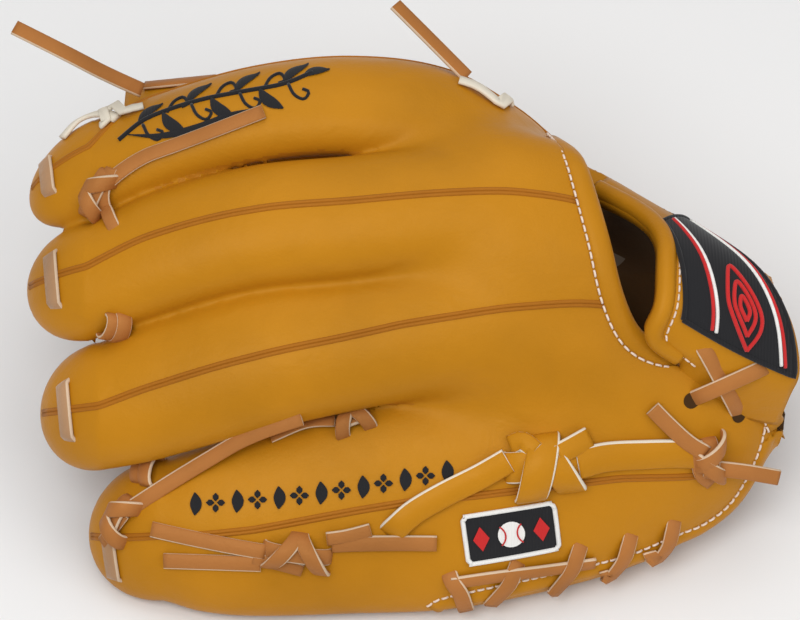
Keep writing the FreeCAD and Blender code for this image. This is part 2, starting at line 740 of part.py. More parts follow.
# ---- Placing and writing ----
def pieces():
    """Every piece by node name, in the working frame."""
    made = {
        "back_panel_index_outer": index_outer_panel(),
        "back_panel_index_middle": index_middle_panel(),
        "back_panel_middle_ring": middle_ring_panel(),
        "back_panel_ring_pinky": ring_pinky_panel(),
        "back_panel_pinky_outer": pinky_outer_panel(),
        "welt_index": welt(INDEX, "index", 68),
        "welt_middle": welt(MIDDLE, "middle", 77),
        "welt_ring": welt(RING, "ring", 85),
        "welt_pinky": welt(PINKY, "pinky", 142),
        "palm_shell": palm_shell(),
        "lining_index": finger_lining(INDEX),
        "lining_middle": finger_lining(MIDDLE),
        "lining_ring": finger_lining(RING),
        "lining_pinky": finger_lining(PINKY),
        "palm_lining": palm_lining(),
        "palm_pad": palm_pad(),
        "pinky_stay": pinky_stay(),
        "back_binding": back_binding(),
        "heel_binding": heel_binding(),
        "tip_lace": tip_lace(),
        "index_knot": index_knot(),
        "middle_ring_loop": gap_loop(MIDDLE, RING, -117, 15),
        "ring_pinky_loop": gap_loop(RING, PINKY, -104, 16),
        "ring_pinky_knot": ring_pinky_knot(),
        "pinky_tip_knot": pinky_tip_knot(),
        "pinky_double_knot": pinky_double_knot(),
        "adjusting_strap": adjusting_strap(),
        "corner_knot": corner_knot(),
        "cross_lace": cross_lace(),
        "heel_whip_lace": heel_whip_lace(),
        "side_badge": badge(),
        "embroidery_index": embroidered_row(INDEX, [-112, -85, -60, -36], -16, 36),
        "embroidery_pinky": embroidered_row(PINKY, [-82, -50, -20, 6, 20], 4, 22),
        "web_index_half": fold_band(INDEX, SIDE_SEAM + 4, WEB_RUN, -1, WEB_THICK),
        "crotch_index_half": fold_band(INDEX, SIDE_SEAM + 4, CROTCH_RUN, -1, WEB_THICK),
        "web_lace": web_lace(),
        "thumb_back_outer": thumb_back(1),
        "thumb_back_inner": thumb_back(-1),
        "welt_thumb": welt(THUMB, "thumb", 140),
        "thumb_palm": thumb_palm(),
        "lining_thumb": thumb_lining(),
        "thumb_stay": thumb_stay(),
        "web_thumb_half": fold_band(THUMB, -SIDE_SEAM - 4, WEB_RUN, 1, WEB_THICK),
        "crotch_thumb_half": fold_band(THUMB, -SIDE_SEAM - 4, CROTCH_RUN[:-1], 1, WEB_THICK),
        "web_thumb_lace": web_thumb_lace(),
        "wrist_strap": strap_piece(-2.0, 2.0),
        "strap_roll": strap_piece(-6.0, -2.2, -1.0, -0.45, 1, 5),
        "strap_patch": strap_piece(2.2, 4.0, -0.6, 0.95, 1, 4),
    }
    for name, route, facing in CORDS:
        made[name] = cord_solid(route, facing)
    return made


def tipped(shape):
    """Turn a shape from the working frame to the resting attitude."""
    turned = shape.copy()
    turned.rotate(V(0, 0, 0), V(1, 0, 0), REST_TILT)
    turned.rotate(V(0, 0, 0), V(0, 1, 0), REST_ROLL)
    return turned


def surface_box(shapes):
    """Bounding box measured on the surfaces, tighter than the one round their control points."""
    box = FreeCAD.BoundBox()
    for shape in shapes:
        for point in shape.tessellate(0.3)[0]:
            box.add(point)
    return box


def main():
    """Build, tip, centre on the floor and write every piece."""
    made = {name: tipped(shape) for name, shape in pieces().items()}
    whole = surface_box([shape for name, shape in made.items() if not name.startswith("cord_")])
    shift = V(-whole.Center.x, -whole.Center.y, -whole.ZMin)
    for name, shape in made.items():
        shape.translate(shift)
        shape.exportStep("parts/%s.step" % name)
        print("%-26s solids %d valid %s volume %.0f" % (name, len(shape.Solids),
                                                       shape.isValid(), shape.Volume))
    print("shift %.2f %.2f %.2f" % (shift.x, shift.y, shift.z))
    print("size %.1f %.1f %.1f" % (whole.XLength, whole.YLength, whole.ZLength))
    for label, point in (("crease heel", V(*CREASE_HEEL)), ("crease web", V(*CREASE_WEB)),
                         ("strap foot", strap_middle(0)), ("strap top", strap_middle(-1))):
        placed = tipped(Part.Vertex(point)).Point + shift
        print("%s %.2f %.2f %.2f" % (label, placed.x, placed.y, placed.z))


main()
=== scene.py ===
"""Looks of the baseball glove: leather skins, lining, welts, laces, strap and badges.

Shapes are worked out in the glove's working frame, in millimetres: X from the
fingertips to the heel, Y toward the thumb side, Z out of the back. placed() turns
them to the resting attitude, in metres.
"""
import json
import math
import bpy
import numpy as np
from mathutils import Matrix, Vector
from mathutils.bvhtree import BVHTree


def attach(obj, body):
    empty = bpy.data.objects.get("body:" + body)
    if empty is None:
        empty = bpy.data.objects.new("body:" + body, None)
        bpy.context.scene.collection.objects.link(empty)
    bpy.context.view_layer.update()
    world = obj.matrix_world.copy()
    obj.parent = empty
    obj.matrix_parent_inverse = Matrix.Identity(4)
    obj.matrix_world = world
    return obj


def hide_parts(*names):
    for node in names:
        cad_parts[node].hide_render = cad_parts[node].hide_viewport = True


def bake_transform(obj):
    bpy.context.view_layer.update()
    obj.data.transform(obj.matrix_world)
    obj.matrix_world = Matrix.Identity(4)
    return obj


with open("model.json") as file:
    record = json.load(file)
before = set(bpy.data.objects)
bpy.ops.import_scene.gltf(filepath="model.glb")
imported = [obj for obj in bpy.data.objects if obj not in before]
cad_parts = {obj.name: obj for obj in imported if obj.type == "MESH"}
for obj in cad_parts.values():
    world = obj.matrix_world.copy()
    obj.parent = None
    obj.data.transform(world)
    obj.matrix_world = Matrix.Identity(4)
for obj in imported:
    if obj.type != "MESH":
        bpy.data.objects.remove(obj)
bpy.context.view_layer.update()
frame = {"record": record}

# ---- Driving dimensions, millimetres and degrees ----
REST_TILT = math.radians(38.7)
CREASE_HEEL = np.array([150.0, 0.0, -86.0])
CREASE_WEB = np.array([-120.0, 72.0, -92.0])
FOLD_OUT = np.array([0.0, 0.937, 0.349])
FOLD_DOWN = np.array([0.0, 0.349, -0.937])
FOLD_RADIUS = [(-116, 22), (-60, 44), (0, 54), (60, 46), (112, 24)]
LACE_WIDTH = 6.5
LACE_THICK = 1.8
LEATHER_THICK = 2.6
PADDED_THICK = 3.4  # back leather with its lining, over the room for the hand
FOLD_THICK = 4.0  # web and crotch leather
GRID = 1.6
SIDE_SEAM = 98.0  # degrees round a stall from its back to the seam with the palm
VALLEY_FILLET = 4.5
HAND_FILLET = 19.0  # added where the valleys fade out over the hand
THREADS_PER_METRE = 1500.0
CAMERA_DISTANCE = 1900.0
CAMERA_WIDTH = 328.0  # width that the camera sees at its target
CAMERA_TARGET = -22.0
BINDING_STITCH = {"spacing": 3.8, "length": 2.7, "radius": 0.48}
BACK_PANELS = ("index_outer", "index_middle", "middle_ring", "ring_pinky", "pinky_outer")

# A stall is an ellipse carried along X. Each row: x, y, z, half width,
# half depth on the back, half depth on the palm, lean of the back from +Z toward +Y.
INDEX = {
    "tip": (-154.6, 47.2, -55.0), "round": 26.0,
    "rows": [(-128, 57.5, -51.5, 24.3, 15.5, 12.0, 36), (-102, 68.5, -48, 24.5, 17, 13, 46),
             (-61, 80, -46, 25.5, 17.5, 14, 50), (-20, 84, -46, 26, 17.5, 16, 50),
             (20, 78, -48, 27, 18, 19, 50), (50, 60, -52, 29, 19, 21, 50),
             (72, 42, -57, 30, 18, 20, 50), (100, 26, -63, 29, 15, 18, 46),
             (130, 8, -66, 24, 12, 14, 40), (150, -4, -66, 14, 8, 9, 34)],
}
MIDDLE = {
    "tip": (-154.6, 8.2, -43.0), "round": 26.0,
    "rows": [(-128, 11.5, -32, 24.5, 16, 12, 12), (-102, 22.4, -27, 26.5, 17.5, 13.5, 18),
             (-61, 33.6, -21, 26.5, 18, 14.5, 20), (-20, 37.7, -19, 26.5, 18, 17, 20),
             (20, 41.6, -19, 27, 18.5, 24, 18), (50, 42, -21, 29, 19, 28, 17),
             (80, 36, -26, 30, 18.5, 27, 17), (105, 22, -38, 30, 14, 22, 14),
             (130, 8, -48, 28, 10, 16, 12), (150, -4, -54, 18, 8, 9, 10)],
}
RING = {
    "tip": (-149.2, -43.0, -44.0), "round": 26.0,
    "rows": [(-123, -39.7, -30.5, 26.3, 16.5, 12.5, 2), (-102, -32.6, -26, 29.5, 17.5, 13.5, 4),
             (-61, -20.9, -19.5, 30, 18, 14.5, 5), (-20, -13.6, -18, 28, 18, 17, 5),
             (20, -5.8, -18, 28.5, 18.5, 24, 3), (50, -1, -20, 30, 19, 29, 2),
             (85, 1, -25, 30, 18.5, 28, 0), (105, -8, -34, 30, 16, 24, 0),
             (130, -16, -42, 28, 12, 18, -4), (150, -22, -48, 18, 8, 10, -8)],
}
PINKY = {
    "tip": (-129.6, -93.5, -52.0), "round": 31.0,
    "rows": [(-98, -91, -41, 29.5, 16.5, 13, -6), (-82, -90.4, -38, 34.5, 17.5, 13.5, -6),
             (-61, -88.2, -36, 38.5, 18, 14.5, -6), (-20, -82.9, -34, 43, 18, 17, -8),
             (20, -78.5, -34, 46, 18.5, 22, -10), (60, -70, -35, 48, 19, 24, -14),
             (100, -60.5, -37, 48, 18, 22, -22), (123, -57, -40, 40, 16, 18, -26),
             (143, -54, -45, 25, 13, 14, -28), (156, -46, -50, 11, 9, 9, -28)],
}
THUMB = {
    "tip": (-86.0, 62.0, -140.0), "round": 30.0,
    "rows": [(-56, 60, -140, 31, 16, 13, 135), (-20, 56, -139, 33, 17, 14, 135),
             (20, 49, -135, 34, 17, 15, 135), (60, 38, -127, 32, 17, 15, 133),
             (100, 20, -116, 26, 15, 13, 128), (130, 4, -106, 18, 12, 10, 124),
             (150, -6, -98, 10, 8, 7, 120)],
}
FINGERS = [INDEX, MIDDLE, RING, PINKY]
# Where each welt runs round its stall: (x, degrees from the back toward the thumb side).
WELTS = {
    "index": [(-150, 0), (-129, 4), (-105, 52), (80, 58)],
    "middle": [(-150, 2), (-125, 8), (-60, 2), (90, 0)],
    "ring": [(-150, 0), (-60, 0), (0, 5), (95, 2)],
    "pinky": [(-125, 0), (-60, 0), (10, 7), (90, 0), (150, -12)],
    "thumb": [(-82, 0), (150, 0)],
}
# Back edge of the hand opening, (x, y), from the index side to the heel.
BACK_EDGE = [(57, 80), (62, 72), (67, 66), (72.5, 46), (78, 25), (82.5, 5), (91, -13.5),
             (104, -21.5), (120, -24), (137, -30), (148, -40), (153, -50)]


# ---- Placing ----
def turned(points):
    """Working-frame points turned to the resting attitude, still in millimetres."""
    p = np.atleast_2d(np.asarray(points, float))
    c, s = math.cos(REST_TILT), math.sin(REST_TILT)
    return np.stack([p[:, 0], p[:, 1] * c - p[:, 2] * s, p[:, 1] * s + p[:, 2] * c], axis=1)


def fold_joint():
    """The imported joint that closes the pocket."""
    return next(j for j in frame["record"]["behaviour"]["joints"] if j["name"] == "pocket_fold")


SHIFT = np.array(fold_joint()["pos_m"]) - turned(CREASE_HEEL)[0] / 1000.0


def placed(points):
    """Working-frame millimetres to metres in the row's frame."""
    return turned(points) / 1000.0 + SHIFT


# ---- Stall geometry ----
def table_values(rows, step=0.5):
    """Rows of a station table resampled finely by a cubic through their neighbours."""
    rows = np.array(rows, float)
    x = np.arange(rows[0, 0], rows[-1, 0] + step, step)
    k = np.clip(np.searchsorted(rows[:, 0], x, side="right") - 1, 0, len(rows) - 2)
    before, start = rows[np.maximum(k - 1, 0)], rows[k]
    end, after = rows[k + 1], rows[np.minimum(k + 2, len(rows) - 1)]
    span = (end[:, 0] - start[:, 0])[:, None]
    t = np.clip((x[:, None] - start[:, :1]) / span, 0, 1)
    rise_a = (end - before) / (end[:, :1] - before[:, :1]) * span
    rise_b = (after - start) / (after[:, :1] - start[:, :1]) * span
    out = (start * (2 * t**3 - 3 * t**2 + 1) + rise_a * (t**3 - 2 * t**2 + t)
           + end * (3 * t**2 - 2 * t**3) + rise_b * (t**3 - t**2))
    out[:, 0] = x
    return out


for stall in FINGERS + [THUMB]:
    stall["fine"] = table_values(stall["rows"])


def section(stall, x):
    """y, z, half width, back depth, palm depth, lean and tip term of a stall at each x."""
    x = np.asarray(x, float)
    fine = stall["fine"]
    values = [np.interp(x, fine[:, 0], fine[:, i]) for i in range(1, 7)]
    tip_x, tip_y, tip_z = stall["tip"]
    share = np.minimum((x - tip_x) / stall["round"], 1.0)
    values[0] = np.where(share < 1, tip_y + (fine[0, 1] - tip_y) * share, values[0])
    values[1] = np.where(share < 1, tip_z + (fine[0, 2] - tip_z) * share, values[1])
    return values + [1.0 - share]


def on_stall(stall, x, angle, inset=0.0):
    """Points on a stall, or that far under it."""
    y, z, width, back, palm, lean, tip = section(stall, x)
    swell = np.sqrt(np.maximum(1 - tip**2, 0))
    turn, tilt = np.radians(angle), np.radians(lean)
    depth = np.where(np.cos(turn) >= 0, back, palm)
    across = (width * swell - inset) * np.sin(turn)
    out = (depth * swell - inset) * np.cos(turn)
    return np.stack([np.asarray(x, float) + 0 * across,
                     y + across * np.cos(tilt) + out * np.sin(tilt),
                     z - across * np.sin(tilt) + out * np.cos(tilt)], axis=-1)


def stall_axes(stall, p):
    """Across and outward offsets of points from a stall's axis, with its section."""
    y, z, width, back, palm, lean, tip = section(stall, p[:, 0])
    tilt = np.radians(lean)
    dy, dz = p[:, 1] - y, p[:, 2] - z
    across = dy * np.cos(tilt) - dz * np.sin(tilt)
    out = dy * np.sin(tilt) + dz * np.cos(tilt)
    return across, out, width, np.where(out >= 0, back, palm), tip


def stall_distance(stall, p):
    """Rough distance of points from a stall's surface, less than zero inside."""
    across, out, width, depth, tip = stall_axes(stall, p)
    k1 = np.sqrt((across / width)**2 + (out / depth)**2 + tip**2)
    k2 = np.sqrt((across / width**2)**2 + (out / depth**2)**2 + (tip / stall["round"])**2)
    past_heel = p[:, 0] - stall["fine"][-1, 0]
    inside = k1 * (k1 - 1) / np.maximum(k2, 1e-6)
    return np.where(past_heel > 0, np.maximum(inside, past_heel), inside)


def smooth_union(a, b, radius):
    """Union of two distances with a fillet of that radius."""
    h = np.clip(0.5 + 0.5 * (b - a) / radius, 0, 1)
    return b * (1 - h) + a * h - radius * h * (1 - h)


def hand_distance(p):
    """Distance from the finger side of the glove: valleys fade out over the hand."""
    fade = np.clip((p[:, 0] + 12) / 62, 0, 1)
    fade = fade * fade * (3 - 2 * fade)
    radius = VALLEY_FILLET + HAND_FILLET * fade
    total = stall_distance(INDEX, p)
    for stall in (MIDDLE, RING, PINKY):
        total = smooth_union(total, stall_distance(stall, p), radius)
    return total


def thumb_distance(p):
    """Distance from the thumb stall."""
    return stall_distance(THUMB, p)


def gradient(distance, p, step=0.4):
    """Slope of a distance at points."""
    out = np.empty_like(p)
    for axis in range(3):
        offset = np.zeros(3)
        offset[axis] = step
        out[:, axis] = (distance(p + offset) - distance(p - offset)) / (2 * step)
    return out


def drawn_to(distance, p, rounds=3):
    """Points moved to where a distance is zero."""
    p = np.array(p, float)
    for _ in range(rounds):
        g = gradient(distance, p)
        p -= g * (distance(p) / np.maximum((g**2).sum(axis=1), 0.05))[:, None]
    return p


def surface_net(distance, low, high, step):
    """Quad mesh of where a distance is zero: one point for each cell that it crosses."""
    axes = [np.arange(a, b + step, step) for a, b in zip(low, high)]
    shape = tuple(len(a) for a in axes)
    grid = np.stack(np.meshgrid(*axes, indexing="ij"), axis=-1).reshape(-1, 3)
    value = np.concatenate([distance(part) for part in np.array_split(grid, 24)]).reshape(shape)
    inside = value < 0
    cells = tuple(n - 1 for n in shape)
    total, count = np.zeros(cells + (3,)), np.zeros(cells)
    position = grid.reshape(shape + (3,))
    quads = []
    for axis in range(3):
        near = [slice(None)] * 3
        far = [slice(None)] * 3
        near[axis], far[axis] = slice(0, -1), slice(1, None)
        near, far = tuple(near), tuple(far)
        crossed = inside[near] != inside[far]
        share = np.where(crossed, value[near] / np.where(crossed, value[near] - value[far], 1), 0)
        point = position[near] + (position[far] - position[near]) * share[..., None]
        others = [a for a in range(3) if a != axis]
        for i in (0, 1):
            for j in (0, 1):
                pick = [slice(None)] * 3
                pick[others[0]] = slice(i, i + cells[others[0]])
                pick[others[1]] = slice(j, j + cells[others[1]])
                pick = tuple(pick)
                total += np.where(crossed[pick][..., None], point[pick], 0)
                count += crossed[pick]
        quads.append((others, crossed))
    used = count > 0
    number = np.full(cells, -1)
    number[used] = np.arange(used.sum())
    points = total[used] / count[used][:, None]
    faces = []
    for others, crossed in quads:
        where = np.argwhere(crossed)
        u, v = where[:, others[0]], where[:, others[1]]
        where = where[(u > 0) & (v > 0) & (u < cells[others[0]]) & (v < cells[others[1]])]
        corner = []
        for i, j in ((1, 1), (0, 1), (0, 0), (1, 0)):
            c = where.copy()
            c[:, others[0]] -= i
            c[:, others[1]] -= j
            corner.append(number[tuple(c.T)])
        faces.append(np.stack(corner, axis=1))
    faces = np.concatenate(faces)
    faces = faces[(faces >= 0).all(axis=1)]
    points = drawn_to(distance, points)
    return points, facing_out(distance, points, faces)


def facing_out(distance, points, faces):
    """Faces turned so that they look the way a distance grows."""
    a, b, c, d = (points[faces[:, k]] for k in range(4))
    normal = np.cross(c - a, d - b)
    wrong = (normal * gradient(distance, (a + b + c + d) / 4)).sum(axis=1) < 0
    faces = faces.copy()
    faces[wrong] = faces[wrong][:, ::-1]
    return faces


# ---- The finger side as one padded solid, then cut into skins ----
def opening_cut(p):
    """More than zero in the space that the hand opening leaves free."""
    edge = np.array(BACK_EDGE, float)[::-1]
    past_edge = p[:, 0] - np.interp(p[:, 1], edge[:, 1], edge[:, 0])
    past_edge = np.where(p[:, 1] < -50, -50, past_edge)
    floor = -30 - 0.25 * (p[:, 0] - 80) - 0.9 * np.maximum(p[:, 1] - 10, 0)
    return np.minimum(past_edge, p[:, 2] - floor)


def cavity_distance(p):
    """Less than zero in the room for the hand: under the back leather, over the palm felt."""
    felt = np.interp(p[:, 0], [-10, 15, 42, 90, 120, 142], [-70, -40, -28.5, -34.5, -43, -48])
    felt -= 0.0022 * (p[:, 1] + 15)**2
    wall = np.maximum(hand_distance(p) + PADDED_THICK, felt - p[:, 2])
    return np.maximum(wall, -18 - p[:, 0])


def padded_hand(p):
    """Distance from the leather and padding of the finger side."""
    return np.maximum(np.maximum(hand_distance(p), -cavity_distance(p)), opening_cut(p))


def nearest_stall(p):
    """Number of the finger stall that each point belongs to, and the angle round it."""
    distances = np.stack([stall_distance(s, p) for s in FINGERS])
    owner = distances.argmin(axis=0)
    angle = np.zeros(len(p))
    for k, stall in enumerate(FINGERS):
        mine = owner == k
        if mine.any():
            across, out, width, depth, _ = stall_axes(stall, p[mine])
            angle[mine] = np.degrees(np.arctan2(across / width, out / depth))
    return owner, angle


def welt_angle(name, x):
    """Angle of a welt round its stall at each x."""
    table = np.array(WELTS[name], float)
    return np.interp(x, table[:, 0], table[:, 1])


def hand_panels(points, faces):
    """Face sets of each skin of the finger side, by piece name."""
    centre = points[faces].mean(axis=1)
    owner, angle = nearest_stall(centre)
    outer, inner = np.abs(hand_distance(centre)), np.abs(cavity_distance(centre))
    cut = np.abs(opening_cut(centre))
    lining = (inner < outer) & (inner < 1.2) | (cut < np.minimum(outer, inner))
    lip = lining & (centre[:, 0] > 60) & (centre[:, 1] > 44)
    lining &= ~lip
    back = (np.abs(angle) < SIDE_SEAM) & ~lining
    side = np.zeros(len(centre))
    for k, name in enumerate(("index", "middle", "ring", "pinky")):
        side = np.where(owner == k, angle - welt_angle(name, centre[:, 0]), side)
    rank = owner + (side < 0)
    sets = {"skin_" + panel: faces[back & (rank == k)] for k, panel in enumerate(BACK_PANELS)}
    sets["skin_palm"] = faces[~back & ~lining]
    sets["skin_lining"] = faces[lining]
    return sets


# ---- Mesh helpers ----
def make_object(name, points, faces, materials, face_material=None):
    """Mesh object from working-frame points and faces."""
    used, index = np.unique(np.concatenate([np.ravel(f) for f in faces]), return_inverse=True)
    points = np.asarray(points)[used]
    sizes = [len(f) for f in faces]
    cuts = np.cumsum(sizes)[:-1]
    mesh = bpy.data.meshes.new(name)
    mesh.from_pydata(placed(points).tolist(), [], [part.tolist() for part in np.split(index, cuts)])
    mesh.polygons.foreach_set("use_smooth", [True] * len(mesh.polygons))
    for material in materials:
        mesh.materials.append(material)
    if face_material is not None:
        mesh.polygons.foreach_set("material_index", face_material)
    mesh.update()
    obj = bpy.data.objects.new(name, mesh)
    bpy.context.scene.collection.objects.link(obj)
    return obj


def unit(v):
    """Vectors scaled to length one."""
    v = np.asarray(v, float)
    return v / np.maximum(np.linalg.norm(v, axis=-1, keepdims=True), 1e-9)


def resample(points, step):
    """Smooth curve through points, resampled at equal steps."""
    points = np.asarray(points, float)
    if len(points) > 2:
        ends = [2 * points[0] - points[1]], [2 * points[-1] - points[-2]]
        p = np.concatenate([ends[0], points, ends[1]])
        t = np.linspace(0, 1, 12, endpoint=False)[:, None]
        parts = []
        for k in range(len(points) - 1):
            a, b, c, d = p[k], p[k + 1], p[k + 2], p[k + 3]
            parts.append(0.5 * (2 * b + (c - a) * t + (2 * a - 5 * b + 4 * c - d) * t**2
                                + (3 * b - a - 3 * c + d) * t**3))
        points = np.concatenate(parts + [points[-1:]])
    length = np.concatenate([[0], np.cumsum(np.linalg.norm(np.diff(points, axis=0), axis=1))])
    count = max(int(round(length[-1] / step)), 2)
    at = np.linspace(0, length[-1], count + 1)
    return np.stack([np.interp(at, length, points[:, i]) for i in range(points.shape[1])], axis=1)


def swept(points, normals, outline):
    """Points and faces of an outline, in (side, up) millimetres, carried along a path."""
    points, outline = np.asarray(points, float), np.asarray(outline, float)
    along = unit(np.gradient(points, axis=0))
    side = unit(np.cross(along, normals))
    up = np.cross(side, along)
    ring = (points[:, None] + side[:, None] * outline[None, :, :1]
            + up[:, None] * outline[None, :, 1:])
    n, m = len(points), len(outline)
    faces = []
    for i in range(n - 1):
        for j in range(m):
            k = (j + 1) % m
            faces.append((i * m + j, i * m + k, (i + 1) * m + k, (i + 1) * m + j))
    faces.append(tuple(range(m - 1, -1, -1)))
    faces.append(tuple((n - 1) * m + j for j in range(m)))
    return ring.reshape(-1, 3), faces


def joined(parts):
    """Several (points, faces) as one."""
    points, faces, start = [], [], 0
    for p, f in parts:
        points.append(p)
        faces += [tuple(i + start for i in face) for face in f]
        start += len(p)
    return np.concatenate(points), faces


def ellipse(half_wide, half_high, count):
    """Oval outline."""
    turn = np.linspace(0, 2 * np.pi, count, endpoint=False)
    return np.stack([half_wide * np.cos(turn), half_high * np.sin(turn)], axis=1)


def circle(radius, count=10):
    """Round outline."""
    return ellipse(radius, radius, count)


def strap_outline(width, thick):
    """Flat outline with softened corners."""
    w, h, c = width / 2, thick / 2, min(thick, width) * 0.28
    return np.array([(w, -h + c), (w, h - c), (w - c, h), (0, h * 1.12), (-w + c, h), (-w, h - c),
                     (-w, -h + c), (-w + c, -h), (w - c, -h)])


# Sides of strap_outline that are cut edges.
STRAP_EDGE_SIDES = (0, 4, 5)


# ---- Laying things on the skins ----
class Ground:
    """Skins that laces and threads are laid on, seen from the back of the glove."""

    def __init__(self, points, faces):
        self.tree = BVHTree.FromPolygons(points.tolist(), [tuple(f) for f in faces])

    def drop(self, x, y, top=60.0):
        """Surface point and outward normal under (x, y)."""
        hit, normal, _, _ = self.tree.ray_cast(Vector((x, y, top)), Vector((0, 0, -1)))
        if hit is None:
            hit, normal, _, _ = self.tree.find_nearest(Vector((x, y, -40)))
        normal = normal if normal.z > 0 else -normal
        return np.array(hit), np.array(normal)

    def near(self, point):
        """Surface point and outward normal nearest a point."""
        hit, normal, _, _ = self.tree.find_nearest(Vector(tuple(point)))
        return np.array(hit), np.array(normal)


def smoothed(values, rounds=4):
    """Values along a path, evened out between its ends."""
    values = np.array(values, float)
    for _ in range(rounds):
        values[1:-1] = (values[:-2] + 2 * values[1:-1] + values[2:]) / 4
    return values


def laid(route, lift, step, soften):
    """Path over the skins from (x, y) or (x, y, extra lift) route points, with normals."""
    route = [tuple(p) + (0.0,) * (3 - len(p)) for p in route]
    flat = resample(route, step)
    hits = [GROUND.drop(p[0], p[1]) for p in flat]
    surface = np.array([h for h, _ in hits])
    normals = unit(smoothed([n for _, n in hits], soften + 3))
    z = np.maximum(smoothed(surface[:, 2], soften), surface[:, 2] - 0.3)
    path = np.stack([surface[:, 0], surface[:, 1], z], axis=1)
    return path + normals * (lift + flat[:, 2:3]), normals


# ---- Materials ----
def base_material(name, colour, rough, specular=0.4):
    """Principled material with its node tree, shader and object coordinates."""
    material = bpy.data.materials.new(name)
    material.use_nodes = True
    tree = material.node_tree
    shader = tree.nodes["Principled BSDF"]
    shader.inputs["Base Color"].default_value = (*colour, 1)
    shader.inputs["Roughness"].default_value = rough
    shader.inputs["Specular IOR Level"].default_value = specular
    place = tree.nodes.new("ShaderNodeTexCoord")
    return material, tree, shader, place.outputs["Object"]


def noise(tree, place, scale, detail=3.0, distortion=0.0):
    """Noise value at a scale in cycles per metre."""
    node = tree.nodes.new("ShaderNodeTexNoise")
    node.inputs["Scale"].default_value = scale
    node.inputs["Detail"].default_value = detail
    node.inputs["Distortion"].default_value = distortion
    tree.links.new(place, node.inputs["Vector"])
    return node.outputs["Fac"]


def ramp(tree, value, stops):
    """Colour ramp of a value: stops are (position, colour)."""
    node = tree.nodes.new("ShaderNodeValToRGB")
    elements = node.color_ramp.elements
    elements[0].position, elements[0].color = stops[0][0], (*stops[0][1], 1)
    elements[1].position, elements[1].color = stops[-1][0], (*stops[-1][1], 1)
    for position, colour in stops[1:-1]:
        elements.new(position).color = (*colour, 1)
    tree.links.new(value, node.inputs["Fac"])
    return node.outputs["Color"]


def bump(tree, value, depth, strength=1.0, below=None):
    """Bump of a value, that many metres deep, over another bump."""
    node = tree.nodes.new("ShaderNodeBump")
    node.inputs["Distance"].default_value = depth
    node.inputs["Strength"].default_value = strength
    tree.links.new(value, node.inputs["Height"])
    if below is not None:
        tree.links.new(below, node.inputs["Normal"])
    return node.outputs["Normal"]


def scaled_colour(colour, amount):
    """Colour made lighter or darker."""
    return tuple(min(c * amount, 1.0) for c in colour)


def leather(name, colour, rough=0.42, grain=1.0, variety=0.14, sheen=0.0):
    """Smooth leather: fine grain, slow creases and slow colour change."""
    material, tree, shader, place = base_material(name, colour, rough, 0.3)
    slow = noise(tree, place, 14, 4)
    tint = ramp(tree, slow, [(0.3, scaled_colour(colour, 1 - variety)), (0.5, colour),
                             (0.72, scaled_colour(colour, 1 + variety * 0.7))])
    tree.links.new(tint, shader.inputs["Base Color"])
    rough_map = tree.nodes.new("ShaderNodeMapRange")
    rough_map.inputs["To Min"].default_value = rough - 0.07
    rough_map.inputs["To Max"].default_value = rough + 0.09
    tree.links.new(noise(tree, place, 160, 3), rough_map.inputs["Value"])
    tree.links.new(rough_map.outputs["Result"], shader.inputs["Roughness"])
    creases = bump(tree, noise(tree, place, 55, 3, 0.8), 0.0016 * grain, 0.35)
    fine = bump(tree, noise(tree, place, 900, 2), 0.00016 * grain, 0.6, creases)
    tree.links.new(fine, shader.inputs["Normal"])
    shader.inputs["Sheen Weight"].default_value = sheen
    shader.inputs["Specular Tint"].default_value = (1.0, 0.66, 0.3, 1)
    return material


def cloth(name, colour):
    """Woven or stitched thread."""
    material, tree, shader, place = base_material(name, colour, 0.85, 0.25)
    wave = tree.nodes.new("ShaderNodeTexWave")
    wave.inputs["Scale"].default_value = THREADS_PER_METRE / 6.3
    tree.links.new(place, wave.inputs["Vector"])
    tree.links.new(bump(tree, wave.outputs["Fac"], 0.0002, 0.5), shader.inputs["Normal"])
    shader.inputs["Sheen Weight"].default_value = 0.15
    return material


TAN = (0.475, 0.195, 0.008)
MAT = {
    "shell": leather("shell_leather", TAN),
    "edge": leather("shell_edge", (0.36, 0.125, 0.010), 0.5, 1.3),
    "trim": leather("trim_leather", (0.43, 0.16, 0.010), 0.45, 1.2),
    # The lining's own dark brown, made darker still as painted shade inside the hand opening; the
    # lace-hole discs also use it as painted shade.
    "lining": leather("lining_leather", (0.040, 0.018, 0.007), 0.65, 1.0, 0.3),
    "palm": leather("palm_leather", (0.43, 0.165, 0.010), 0.45, 1.2),
    "lace": leather("lace_leather", (0.39, 0.150, 0.040), 0.5, 1.2, 0.25),
    "suede": leather("lace_flesh_side", (0.42, 0.235, 0.12), 0.8, 2.0, 0.35, 0.3),
    "raw": leather("raw_leather_edge", (0.62, 0.47, 0.33), 0.75, 1.5, 0.25),
    "pale": leather("pale_raw_edge", (0.72, 0.66, 0.55), 0.75, 1.5, 0.2),
    "thread": cloth("stitch_thread", (0.80, 0.66, 0.55)),
    "black": cloth("black_fabric", (0.012, 0.012, 0.014)),
    "white": cloth("white_thread", (0.80, 0.79, 0.76)),
    "red": cloth("red_thread", (0.55, 0.02, 0.02)),
}
ROOT, THUMB_BODY, STRAP_BODY = "finger_side", "thumb_side", "wrist_strap"


def finished(obj, body, nodes=()):
    """Give a piece its body and hide the CAD nodes that it stands for."""
    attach(obj, body)
    if nodes:
        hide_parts(*nodes)
    return obj


def piece(name, points, faces, material, body, nodes=(), slot=None):
    """Finished piece of one material."""
    return finished(make_object(name, points, faces, [MAT[material]]), body, nodes)


